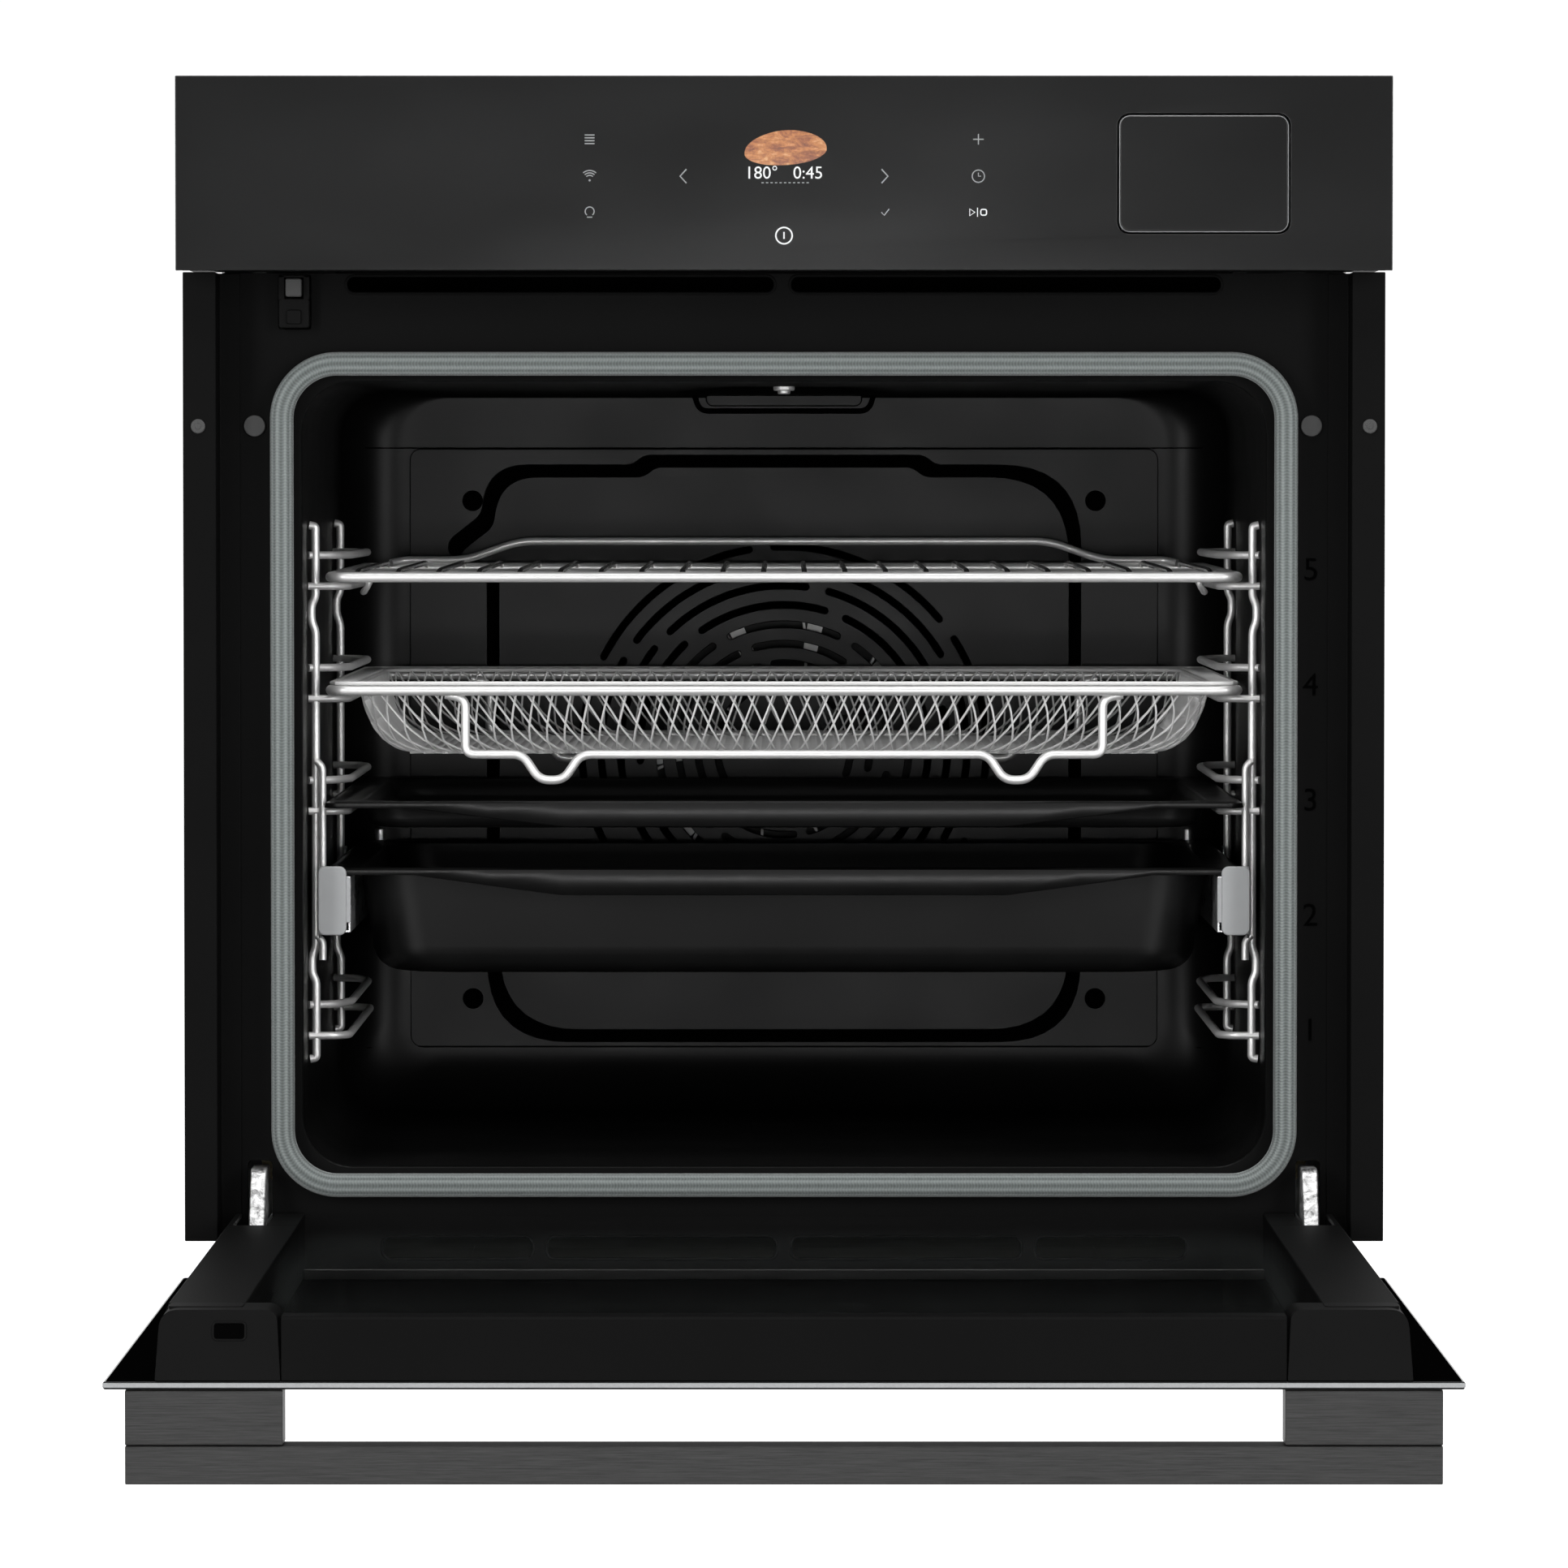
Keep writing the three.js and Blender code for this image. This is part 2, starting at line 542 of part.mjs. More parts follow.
// A tray: a rim with lips folded down at front and back, and a pan hanging in it.
function tray(halfWidth, y0, y1, top, lipBottom, panHalf, panFoot, bottom, corner) {
  const rim = prismZ(roundedRectangle(-halfWidth, halfWidth, y0, y1, 6), top - 2.6, top, 3);
  const lipOutline = polygon([[-166, top - 1.3], [-131, lipBottom], [131, lipBottom], [166, top - 1.3]]);
  const lips = [y0, y1 - 1.2].map((y) => prismY(lipOutline, y, y + 1.2));
  const outside = pan(panFoot, panHalf, y0 + 15, y1 - 15, bottom, top - 1, corner);
  const inside = pan(panFoot - 1.2, panHalf - 1.2, y0 + 16.2, y1 - 16.2, bottom + 1.2, top + 2, corner - 1);
  return cut(join(rim, ...lips, outside), inside);
}

function addTrays() {
  add('shallow_tray', 'black_enamel', tray(228.5, 49, 409, 236.5, 225, 213, 209, 223.5, 22));
  add('deep_tray', 'black_enamel', tray(228.5, 53, 396, 203, 190.6, 214, 205, 150, 30));
}

// ---- Door: glass panes between two side profiles, hinges, and the bar handle under the outer glass.

function addDoorGlass() {
  add('outer_glass', 'black_glass', block(-FASCIA_HALF, FASCIA_HALF, DOOR_FRONT, OUTER_GLASS_HEEL,
    0, OUTER_GLASS));
  const half = PROFILE_INNER - GAP;
  add('middle_glass', 'clear_glass', block(-half, half, -446, -12, 16, 20));
  add('inner_glass', 'clear_glass', block(-half, half, -448, 8, 30, 34));
  add('bottom_rail', 'aluminium', block(-half, half, -8, 6, OUTER_GLASS + GAP, 9));
}

function addDoorProfiles() {
  const bottom = OUTER_GLASS + GAP;
  const capBack = DOOR_FRONT + CAP_DEPTH;
  addPair('side_profile', 'dark_paint', (side) => {
    const body = block(side * PROFILE_INNER, side * PROFILE_OUTER, capBack + GAP, DOOR_HEEL,
      bottom, DOOR_INNER_FACE);
    const hollow = block(side * (PROFILE_INNER + 2), side * (PROFILE_OUTER - 2), capBack + 4,
      DOOR_HEEL + 5, bottom + 2, DOOR_INNER_FACE - 2);
    const armSlot = block(side * 252, side * 268, -56, DOOR_HEEL + 5, 20, DOOR_INNER_FACE + 5);
    return cut(body, hollow, armSlot);
  });
  addPair('corner_cap', 'dark_plastic', (side) => {
    const cap = block(side * 220, side * PROFILE_OUTER, DOOR_FRONT, capBack, bottom, DOOR_INNER_FACE);
    const strike = block(-249.6, -235, DOOR_FRONT - 5, DOOR_FRONT + 22, 21.8, 29.6);
    return side < 0 ? cut(cap, strike) : cap;
  });
  add('top_profile', 'dark_paint', block(-220 + GAP, 220 - GAP, DOOR_FRONT, DOOR_FRONT + 26, bottom, 32));
}

function addHinges() {
  addPair('hinge_body', 'zinc', (side) => {
    const cheek = (x0, x1) => block(side * x0, side * x1, -180, 5, 8, 29);
    const web = block(side * 253, side * 267, -180, -60, 8, 29);
    const pin = bar([side * 252, PIVOT_Y, PIVOT_Z], [side * 268, PIVOT_Y, PIVOT_Z], 6, 12);
    return join(cheek(250, 254), cheek(266, 270), web, pin);
  });
  addPair('hinge_arm', 'zinc', (side) => {
    const arm = polygon([[-9, 22], [3, 11.5], [20, 31], [44, 36], [44, 57], [12, 57]]);
    const x0 = side < 0 ? -264 : 256;
    const eye = bar([x0, PIVOT_Y, PIVOT_Z], [x0 + 8, PIVOT_Y, PIVOT_Z], 16, 16);
    const hole = bar([x0 - 2, PIVOT_Y, PIVOT_Z], [x0 + 10, PIVOT_Y, PIVOT_Z], 6.9, 12);
    return cut(join(prismX(arm, x0, x0 + 8), eye), hole);
  });
}

function addHandle() {
  const back = DOOR_FRONT + HANDLE_DEPTH;
  add('handle_bar', 'black_steel', block(-HANDLE_HALF, HANDLE_HALF, DOOR_FRONT, back, -41.7, -24.8));
  addPair('handle_post', 'black_steel', (side) => block(side * HANDLE_OPENING_HALF, side * HANDLE_HALF,
    DOOR_FRONT, back, -24.8 + GAP, -GAP));
}

addCasing();
addFrontFrame();
addTrims();
addFascia();
addCavity();
addRearPanel();
addInsulation();
addSeal();
addHeaters();
addConvectionFan();
addCoolingBlower();
addSteamAndElectrics();
addWaterTank();
addLock();
addSideRacks();
addRunners();
addWireShelf();
addBasket();
addTrays();
addDoorGlass();
addDoorProfiles();
addHinges();
addHandle();

export default oven;
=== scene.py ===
"""A built-in wall oven with its door folded down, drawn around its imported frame.

Lengths below are millimetres in the oven's own cabinet coordinates: x to the right, y from the kitchen
into the cabinet with 0 at the cabinet's face, and z up from the underside of the base plate.
"""

import bpy
import numpy as np
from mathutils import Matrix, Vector


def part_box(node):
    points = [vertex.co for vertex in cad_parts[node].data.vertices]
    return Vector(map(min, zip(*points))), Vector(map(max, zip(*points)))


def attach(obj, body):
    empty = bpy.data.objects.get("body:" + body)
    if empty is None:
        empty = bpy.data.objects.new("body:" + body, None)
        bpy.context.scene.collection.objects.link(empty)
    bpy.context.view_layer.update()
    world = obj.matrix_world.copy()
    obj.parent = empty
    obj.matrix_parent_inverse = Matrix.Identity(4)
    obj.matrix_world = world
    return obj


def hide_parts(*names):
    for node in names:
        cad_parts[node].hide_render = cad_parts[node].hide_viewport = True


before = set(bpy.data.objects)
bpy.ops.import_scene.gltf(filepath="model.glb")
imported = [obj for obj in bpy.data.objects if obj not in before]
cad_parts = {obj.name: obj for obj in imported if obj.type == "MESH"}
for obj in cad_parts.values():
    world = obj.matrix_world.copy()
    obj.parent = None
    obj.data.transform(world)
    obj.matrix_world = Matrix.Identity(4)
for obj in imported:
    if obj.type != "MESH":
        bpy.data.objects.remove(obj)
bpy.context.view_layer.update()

MM = 0.001
PLATE_FRONT = 26.0
CABINET_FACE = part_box("base_plate")[0][1] / MM - PLATE_FRONT


def extent(node):
    """A CAD node's (low, high) corners in millimetres, in cabinet coordinates."""
    low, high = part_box(node)
    shift = np.array([0.0, CABINET_FACE, 0.0])
    return np.array(low) / MM - shift, np.array(high) / MM - shift


# ---- Sizes, from the frame where it has them

FASCIA_LOW, FASCIA_HIGH = extent("control_fascia")
TANK_LOW, TANK_HIGH = extent("tank_front")
SEAL_LOW, SEAL_HIGH = extent("door_seal")
SHELF_LOW, SHELF_HIGH = extent("wire_shelf")
BASKET_LOW, BASKET_HIGH = extent("basket_frame")
GLASS_LOW, GLASS_HIGH = extent("outer_glass")
SIDE_LOW, SIDE_HIGH = extent("side_panel_right")
BACK_LOW, BACK_HIGH = extent("back_cover")
HANDLE_LOW, HANDLE_HIGH = extent("handle_bar")
CAVITY_HALF = 239.0
CAVITY_FLOOR = 56.5
CAVITY_CEILING = 446.5
CAVITY_CORNER = 25.0
CAVITY_BACK = extent("cavity_back")[0][1]
REAR_FILLET = 34.0
WELL_BACK = 489.0
FAN_HEIGHT = 252.0
REAR_PANEL_FRONT = extent("rear_panel")[0][1]
UPRIGHT_X = 235.5
RAIL_X = 219.0
RACK_FRONT = 80.0
RACK_BACK = 318.0
LEVEL_ONE = 118.7
LEVEL_PITCH = 56.45
GUIDE_RISE = 15.5
DOOR_INNER_FACE = extent("side_profile_left")[1][2]
SEAL_BAND = 11.6
SEAL_CORNER = 33.0
PIVOT_Y, PIVOT_Z = -3.75, 18.25
HINGE_SLOT_START = -56.0
SLOT_HALF = 1.7
HEATER_RADIUS = 118.0
HEATER_DEPTH = 462
RUNNER_BOTTOM, RUNNER_TOP = 172.0, 200.0
WIRE_HALF = 2.6
SHELF_HEIGHT = 349.3
CROSS_WIRES = 22
CROSS_PITCH = 20.3
GUARD_HEIGHT = 365
BASKET_HEIGHT = 292.8
BASKET_MIDDLE = 229
STAND_HEIGHT = 260.8
FOOT_HEIGHT = 248
WEAVE_WIRES = 160
MESH_PITCH = 9.6
TRAY_HALF = 228.5

# ---- Camera and light, in millimetres, degrees and watts

CAMERA_DISTANCE = 4177.0
CAMERA_HEIGHT = 393.4
CAMERA_TILT = 1.994
LENS = 194.81
ROOM_LIGHT = 0.33
FRONT_POWER = 30
TALL_POWER = 52
TOP_POWER = 34


# ---- Surfaces: arrays of points and faces in millimetres


def smooth_step(value, low, high):
    """0 below low, 1 above high, and 3t^2 - 2t^3 between them."""
    t = np.clip((value - low) / (high - low), 0, 1)
    return t * t * (3 - 2 * t)


def rounded_outline(u0, u1, v0, v1, radius, steps=8, sides=1):
    """A rounded rectangle: four quarter circles, and straight sides between them cut into equal parts."""
    radius = max(min(radius, (u1 - u0) / 2 - 1e-3, (v1 - v0) / 2 - 1e-3), 1e-3)
    quarter = np.linspace(0, np.pi / 2, steps)
    centres = [(u1 - radius, v1 - radius), (u0 + radius, v1 - radius), (u0 + radius, v0 + radius),
               (u1 - radius, v0 + radius)]
    arcs = []
    for turn, centre in enumerate(centres):
        angle = quarter + turn * np.pi / 2
        arcs.append(np.array(centre) + radius * np.stack([np.cos(angle), np.sin(angle)], 1))
    if sides == 1:
        return np.concatenate(arcs)
    parts = []
    share = np.linspace(0, 1, sides + 1)[1:-1, None]
    for arc, following in zip(arcs, arcs[1:] + arcs[:1]):
        parts += [arc, arc[-1] + share * (following[0] - arc[-1])]
    return np.concatenate(parts)


def stand(outline, depth, axis):
    """An outline in two coordinates and its depth along an axis, as points in x, y and z."""
    u, v = outline[..., 0], outline[..., 1]
    w = np.broadcast_to(depth, u.shape)
    return np.stack({"x": (w, u, v), "y": (u, w, v), "z": (u, v, w)}[axis], -1)


def grid_faces(rows, columns, close_rows=False, close_columns=False):
    """The four-sided faces of a grid of points, wrapping round where a direction is closed."""
    i = np.arange(rows if close_rows else rows - 1)[:, None]
    j = np.arange(columns if close_columns else columns - 1)[None, :]
    following_i, following_j = (i + 1) % rows, (j + 1) % columns
    corners = [i * columns + j, following_i * columns + j, following_i * columns + following_j,
               i * columns + following_j]
    return np.stack(np.broadcast_arrays(*corners), -1).reshape(-1, 4).tolist()


def volume(points, faces):
    """The signed volume inside the faces: a sixth of the sum of each fan triangle's triple product."""
    fans = [(face[0], a, b) for face in faces for a, b in zip(face[1:-1], face[2:])]
    a, b, c = points[np.array(fans)].transpose(1, 0, 2)
    return np.einsum("ij,ij->", a, np.cross(b, c)) / 6


def outward(points, faces):
    """The same closed surface with its faces pointing out."""
    points = np.asarray(points, float).reshape(-1, 3)
    if volume(points - points.mean(0), faces) < 0:
        faces = [face[::-1] for face in faces]
    return points, faces


def loft(rings, loop=False):
    """Rings of equally many points joined in order, with flat end caps or the last joined to the first."""
    rings = np.asarray(rings, float)
    count, around = rings.shape[:2]
    faces = grid_faces(count, around, close_rows=loop, close_columns=True)
    if not loop:
        faces.append(list(range(around)))
        faces.append(list(range((count - 1) * around, count * around))[::-1])
    return outward(rings, faces)


def slab(low, high, corner, edge, axis, steps=8):
    """A rounded rectangle carried along an axis, with its two end edges rounded over a quarter circle."""
    u, v, w = {"x": (1, 2, 0), "y": (0, 2, 1), "z": (0, 1, 2)}[axis]
    turn = np.linspace(0, np.pi / 2, 5)
    inset = edge * (1 - np.sin(turn))
    reach = edge * (1 - np.cos(turn))
    insets = np.concatenate([inset, inset[::-1]])
    depths = np.concatenate([low[w] + reach, high[w] - reach[::-1]])
    rings = [stand(rounded_outline(low[u] + i, high[u] - i, low[v] + i, high[v] - i, corner - i, steps), d,
                   axis)
             for i, d in zip(insets, depths)]
    return loft(rings)


def prism(outline, start, end, axis):
    """A flat outline carried straight along an axis."""
    outline = np.asarray(outline, float)
    return loft([stand(outline, start, axis), stand(outline, end, axis)])


def bent(points, radius, steps=6):
    """A polyline with each corner made a curve (1-t)^2 a + 2t(1-t) corner + t^2 b, from a radius away."""
    points = np.asarray(points, float)
    t = np.linspace(0, 1, steps)[:, None]
    path = [points[:1]]
    for before, corner, after in zip(points, points[1:], points[2:]):
        back, on = before - corner, after - corner
        reach = min(radius, np.linalg.norm(back) * 0.49, np.linalg.norm(on) * 0.49)
        a = corner + back / np.linalg.norm(back) * reach
        b = corner + on / np.linalg.norm(on) * reach
        path.append((1 - t) ** 2 * a + 2 * t * (1 - t) * corner + t**2 * b)
    return np.concatenate([*path, points[-1:]])


def tube(path, radius, up=(0, 0, 1), sides=10, loop=False):
    """Circles of one radius square to a path, turned by the path's own direction and a fixed upward one."""
    path = np.asarray(path, float)
    along = np.roll(path, -1, 0) - np.roll(path, 1, 0)
    if not loop:
        along[0], along[-1] = path[1] - path[0], path[-1] - path[-2]
    along /= np.linalg.norm(along, axis=1, keepdims=True)
    across = np.cross(along, up)
    across /= np.linalg.norm(across, axis=1, keepdims=True)
    rise = np.cross(across, along)
    angle = np.linspace(0, 2 * np.pi, sides, endpoint=False)[None, :, None]
    rings = path[:, None] + radius * (np.cos(angle) * across[:, None] + np.sin(angle) * rise[:, None])
    return loft(rings, loop=loop)


def rods(starts, ends, radius, sides=6):
    """Straight round rods between rows of start and end points, worked out together."""
    starts, ends = np.atleast_2d(starts).astype(float), np.atleast_2d(ends).astype(float)
    along = (ends - starts) / np.linalg.norm(ends - starts, axis=1, keepdims=True)
    helper = np.where(np.abs(along[:, 2:]) > 0.9, [[1.0, 0, 0]], [[0, 0, 1.0]])
    across = np.cross(along, helper)
    across /= np.linalg.norm(across, axis=1, keepdims=True)
    rise = np.cross(across, along)
    angle = np.linspace(0, 2 * np.pi, sides, endpoint=False)[None, :, None]
    ring = radius * (np.cos(angle) * across[:, None] + np.sin(angle) * rise[:, None])
    points = np.stack([starts[:, None] + ring, ends[:, None] + ring], 1)
    faces, around = [], grid_faces(2, sides, close_columns=True)
    around += [list(range(sides)), list(range(sides, 2 * sides))[::-1]]
    one = points[0].reshape(-1, 3)
    if volume(one - one.mean(0), around) < 0:
        around = [face[::-1] for face in around]
    for i in range(len(starts)):
        faces += [[k + i * 2 * sides for k in face] for face in around]
    return points.reshape(-1, 3), faces


def strands(paths, radius, sides=5):
    """Thin wires along many paths of equally many points, worked out together, with flat ends."""
    along = np.gradient(paths, axis=1)
    along /= np.linalg.norm(along, axis=2, keepdims=True) + 1e-9
    helper = np.array([0.31, 0.17, 0.93])
    across = np.cross(along, helper)
    across /= np.linalg.norm(across, axis=2, keepdims=True) + 1e-9
    rise = np.cross(across, along)
    angle = np.linspace(0, 2 * np.pi, sides, endpoint=False)[None, None, :, None]
    around = np.cos(angle) * across[:, :, None] + np.sin(angle) * rise[:, :, None]
    rings = paths[:, :, None] + radius * around
    count, steps = paths.shape[:2]
    one = grid_faces(steps, sides, close_columns=True)
    one += [list(range(sides)), list(range((steps - 1) * sides, steps * sides))[::-1]]
    first = rings[0].reshape(-1, 3)
    if volume(first - first.mean(0), one) < 0:
        one = [face[::-1] for face in one]
    faces = []
    for i in range(count):
        faces += [[k + i * steps * sides for k in face] for face in one]
    return rings.reshape(-1, 3), faces


def together(*surfaces):
    """Several surfaces as one set of points and faces."""
    points, faces, first = [], [], 0
    for some, theirs in surfaces:
        points.append(some)
        faces += [[k + first for k in face] for face in theirs]
        first += len(some)
    return np.concatenate(points), faces


def mirrored(surface):
    """The surface's mirror image across x = 0, with its faces turned so that they still point out."""
    points, faces = surface
    return points * [-1, 1, 1], [face[::-1] for face in faces]


def sided(surface, side):
    """A surface drawn for the right side, or its mirror image for the left."""
    return surface if side > 0 else mirrored(surface)


def disc(centre, radius, depth, axis="y", edge=0.4, sides=32):
    """A round button: circles whose radius follows a quarter circle near both ends."""
    turn = np.linspace(0, np.pi / 2, 4)
    radii = np.concatenate([radius - edge * (1 - np.sin(turn)), radius - edge * (1 - np.sin(turn[::-1]))])
    reach = edge * (1 - np.cos(turn))
    depths = np.concatenate([reach, depth - reach[::-1]])
    angle = np.linspace(0, 2 * np.pi, sides, endpoint=False)
    circle = np.stack([np.cos(angle), np.sin(angle)], 1)
    rings = [stand(circle * r, d, axis) + np.asarray(centre) for r, d in zip(radii, depths)]
    return loft(rings)


# ---- Pieces


def piece(name, body, surface, finish, stands_for=(), bevel=0.0, flat=False, uv=None, wire=False):
    """A mesh object made from points and faces, riding on a body, with one finish."""
    points, faces = surface
    mesh = bpy.data.meshes.new(name)
    mesh.from_pydata((points + [0, CABINET_FACE, 0]) * MM, [], faces)
    mesh.polygons.foreach_set("use_smooth", [not flat] * len(mesh.polygons))
    if uv is not None:
        layer = mesh.uv_layers.new(name="along")
        loops = np.empty(len(mesh.loops), int)
        mesh.loops.foreach_get("vertex_index", loops)
        layer.data.foreach_set("uv", uv[loops].ravel())
    return register(bpy.data.objects.new(name, mesh), body, finish, stands_for, bevel, wire)


def register(made, body, finish, stands_for=(), bevel=0.0, wire=False):
    """Puts an object in the scene with its finish, its rounded edges and the body it rides on.

    Unless it is wire, its large flat faces keep a flat shine up to their rounded edges.
    """
    bpy.context.scene.collection.objects.link(made)
    made.data.materials.clear()
    made.data.materials.append(finish.material)
    made.data.update()
    if bevel:
        rounding = made.modifiers.new("rounded_edges", "BEVEL")
        rounding.width = bevel * MM
        rounding.segments = 2
        rounding.limit_method = "ANGLE"
        rounding.angle_limit = np.radians(40)
    made.data.set_sharp_from_angle(angle=np.radians(38))
    if not wire:
        shine = made.modifiers.new("flat_shine", "WEIGHTED_NORMAL")
        shine.keep_sharp = True
    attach(made, body)
    if stands_for:
        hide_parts(*stands_for)
    return made


def cut_sheet(name, body, outlines, front, thickness, finish, stands_for=(), bevel=0.25):
    """A flat sheet facing -y with rounded edges. Every outline after the first is a hole in it."""
    curve = bpy.data.curves.new(name, "CURVE")
    curve.dimensions, curve.fill_mode = "2D", "BOTH"
    curve.extrude = thickness / 2 - bevel
    curve.bevel_depth, curve.bevel_resolution, curve.offset = bevel, 2, -bevel
    for outline in outlines:
        spline = curve.splines.new("POLY")
        spline.points.add(len(outline) - 1)
        spline.points.foreach_set("co", np.pad(outline, ((0, 0), (0, 2))).ravel())
        spline.use_cyclic_u = True
    drawn = bpy.data.objects.new(name, curve)
    bpy.context.scene.collection.objects.link(drawn)
    bpy.context.view_layer.update()
    shape = drawn.evaluated_get(bpy.context.evaluated_depsgraph_get())
    mesh = bpy.data.meshes.new_from_object(shape)
    flat = np.empty(len(mesh.vertices) * 3)
    mesh.vertices.foreach_get("co", flat)
    flat = flat.reshape(-1, 3)
    points = np.stack([flat[:, 0], front + thickness / 2 - flat[:, 2], flat[:, 1]], 1)
    faces = [list(face.vertices) for face in mesh.polygons]
    bpy.data.objects.remove(drawn)
    bpy.data.curves.remove(curve)
    points, faces = welded(points, faces)
    return piece(name, body, (points, faces), finish, stands_for)


def welded(points, faces):
    """The same surface with points that share a place made one, and folded-up faces left out."""
    _, first, which = np.unique(np.round(points, 4), axis=0, return_index=True, return_inverse=True)
    which = which.ravel()
    faces = [list(dict.fromkeys(which[face].tolist())) for face in faces]
    return points[first], [face for face in faces if len(face) > 2]


def lettering(name, body, text, size, centre, finish, depth=0.2):
    """Raised generic figures on a face that looks towards -y, made a mesh before they are placed."""
    curve = bpy.data.curves.new(name, "FONT")
    curve.body, curve.size, curve.extrude = text, size, depth
    curve.align_x, curve.align_y = "CENTER", "CENTER"
    curve.resolution_u = 4
    drawn = bpy.data.objects.new(name, curve)
    bpy.context.scene.collection.objects.link(drawn)
    bpy.context.view_layer.update()
    mesh = bpy.data.meshes.new_from_object(drawn.evaluated_get(bpy.context.evaluated_depsgraph_get()))
    flat = np.empty(len(mesh.vertices) * 3)
    mesh.vertices.foreach_get("co", flat)
    flat = flat.reshape(-1, 3)
    points = np.stack([flat[:, 0], -flat[:, 2], flat[:, 1]], 1) + np.asarray(centre)
    faces = [list(face.vertices) for face in mesh.polygons]
    bpy.data.objects.remove(drawn)
    bpy.data.curves.remove(curve)
    return piece(name, body, welded(points, faces), finish, flat=True)


# ---- Shader maths


class Value:
    """A number in a material's node tree. Arithmetic on it adds Math nodes."""

    def __init__(self, tree, socket):
        self.tree, self.socket = tree, socket

    def apply(self, operation, *others):
        """The result of a Math node, with this value in its first socket and the others after it."""
        node = self.tree.nodes.new("ShaderNodeMath")
        node.operation = operation
        for slot, value in zip(node.inputs, (self, *others)):
            if isinstance(value, Value):
                self.tree.links.new(value.socket, slot)
            else:
                slot.default_value = value
        return Value(self.tree, node.outputs[0])

    def __add__(self, other):
        """The sum."""
        return self.apply("ADD", other)

    def __radd__(self, other):
        """The sum, written the other way round."""
        return self.apply("ADD", other)

    def __sub__(self, other):
        """The difference."""
        return self.apply("SUBTRACT", other)

    def __mul__(self, other):
        """The product."""
        return self.apply("MULTIPLY", other)

    def sine(self):
        """The sine of this value in radians."""
        return self.apply("SINE")


class Finish:
    """A material: its Principled shader, its record slot, and one method that adds any node."""

    def __init__(self, name, slot, **fixed):
        self.material = bpy.data.materials.new(name)
        self.material.use_nodes = True
        self.slot = slot
        self.tree = self.material.node_tree
        self.shader = next(n for n in self.tree.nodes if n.type == "BSDF_PRINCIPLED")
        for socket, value in fixed.items():
            self.shader.inputs[socket.replace("_", " ")].default_value = value

    def node(self, kind, settings=None, out=0, **inputs):
        """Adds a node, sets its settings, sets or links its sockets, and returns one of its outputs."""
        node = self.tree.nodes.new("ShaderNode" + kind)
        for setting, value in (settings or {}).items():
            if setting == "stops":
                self.set_ramp(node.color_ramp, value)
            else:
                setattr(node, setting, value)
        for socket, value in inputs.items():
            name = socket.replace("_", " ")
            slot = node.inputs[int(name[5:])] if name.startswith("slot ") else node.inputs[name]
            if isinstance(value, Value):
                self.tree.links.new(value.socket, slot)
            else:
                slot.default_value = value
        return Value(self.tree, node.outputs[out])

    def set_ramp(self, ramp, stops):
        """Sets the colours and places of a colour ramp."""
        while len(ramp.elements) < len(stops):
            ramp.elements.new(1.0)
        for element, (place, colour) in zip(ramp.elements, stops):
            element.position, element.color = place, colour

    def feed(self, **inputs):
        """Links varying values to the shader's sockets."""
        for socket, value in inputs.items():
            self.tree.links.new(value.socket, self.shader.inputs[socket.replace("_", " ")])
        return self

    def place(self, **scale):
        """Object coordinates in metres, stretched by a factor for each axis."""
        where = self.node("TexCoord", out=3)
        factors = [scale.get(axis, 1.0) for axis in "xyz"]
        return self.node("Mapping", Vector=where, Scale=factors)

    def noise(self, where, size, detail=3.0, rough=0.55, distortion=0.0):
        """Noise between 0 and 1 whose blobs are about size millimetres across."""
        return self.node("TexNoise", Vector=where, Scale=1000.0 / size, Detail=detail, Roughness=rough,
                         Distortion=distortion)

    def between(self, share, first, second):
        """A colour that goes from first to second with a value from 0 to 1."""
        return self.node("Mix", {"data_type": "RGBA"}, out=2, slot_0=share, slot_6=(*first, 1),
                         slot_7=(*second, 1))

    def bumped(self, height, strength, distance):
        """A normal tilted by a height field. distance is the bump's depth in millimetres."""
        return self.node("Bump", Height=height, Strength=strength, Distance=distance * MM)


def grey(level, tint=0.0):
    """A dark neutral colour, a little bluer with tint."""
    return (level, level * (1 + tint), level * (1 + 2 * tint))


def black_glass():
    """Back-printed black glass: a smooth face whose gloss varies faintly, as after wiping."""
    glass = Finish("black_glass", "black_glass", IOR=1.45, Specular_IOR_Level=0.3)
    wiped = glass.noise(glass.place(x=0.4), 60, 2.0)
    grain = glass.noise(glass.place(), 4, 2.0)
    glass.feed(Base_Color=glass.between(wiped, grey(0.0065), grey(0.009, 0.02)),
               Roughness=0.08 + wiped * 0.08 + grain * 0.02)
    return glass


def glass_edge():
    """The ground, bare edge of a pane: pale grey and matt."""
    edge = Finish("glass_edge", "black_glass")
    grain = edge.noise(edge.place(), 0.6, 2.0)
    edge.feed(Base_Color=edge.between(grain, grey(0.22, 0.02), grey(0.34, 0.02)),
              Roughness=0.35 + grain * 0.2)
    return edge


def clear_glass():
    """A clear pane that hardly reflects, with a faint film on it."""
    pane = Finish("clear_glass", "clear_glass", Specular_IOR_Level=0.25, IOR=1.45)
    film = pane.noise(pane.place(), 70, 2.0)
    pane.feed(Base_Color=pane.between(film, grey(0.006), grey(0.01)), Roughness=0.06 + film * 0.08,
              Alpha=0.035 + film * 0.03)
    return pane


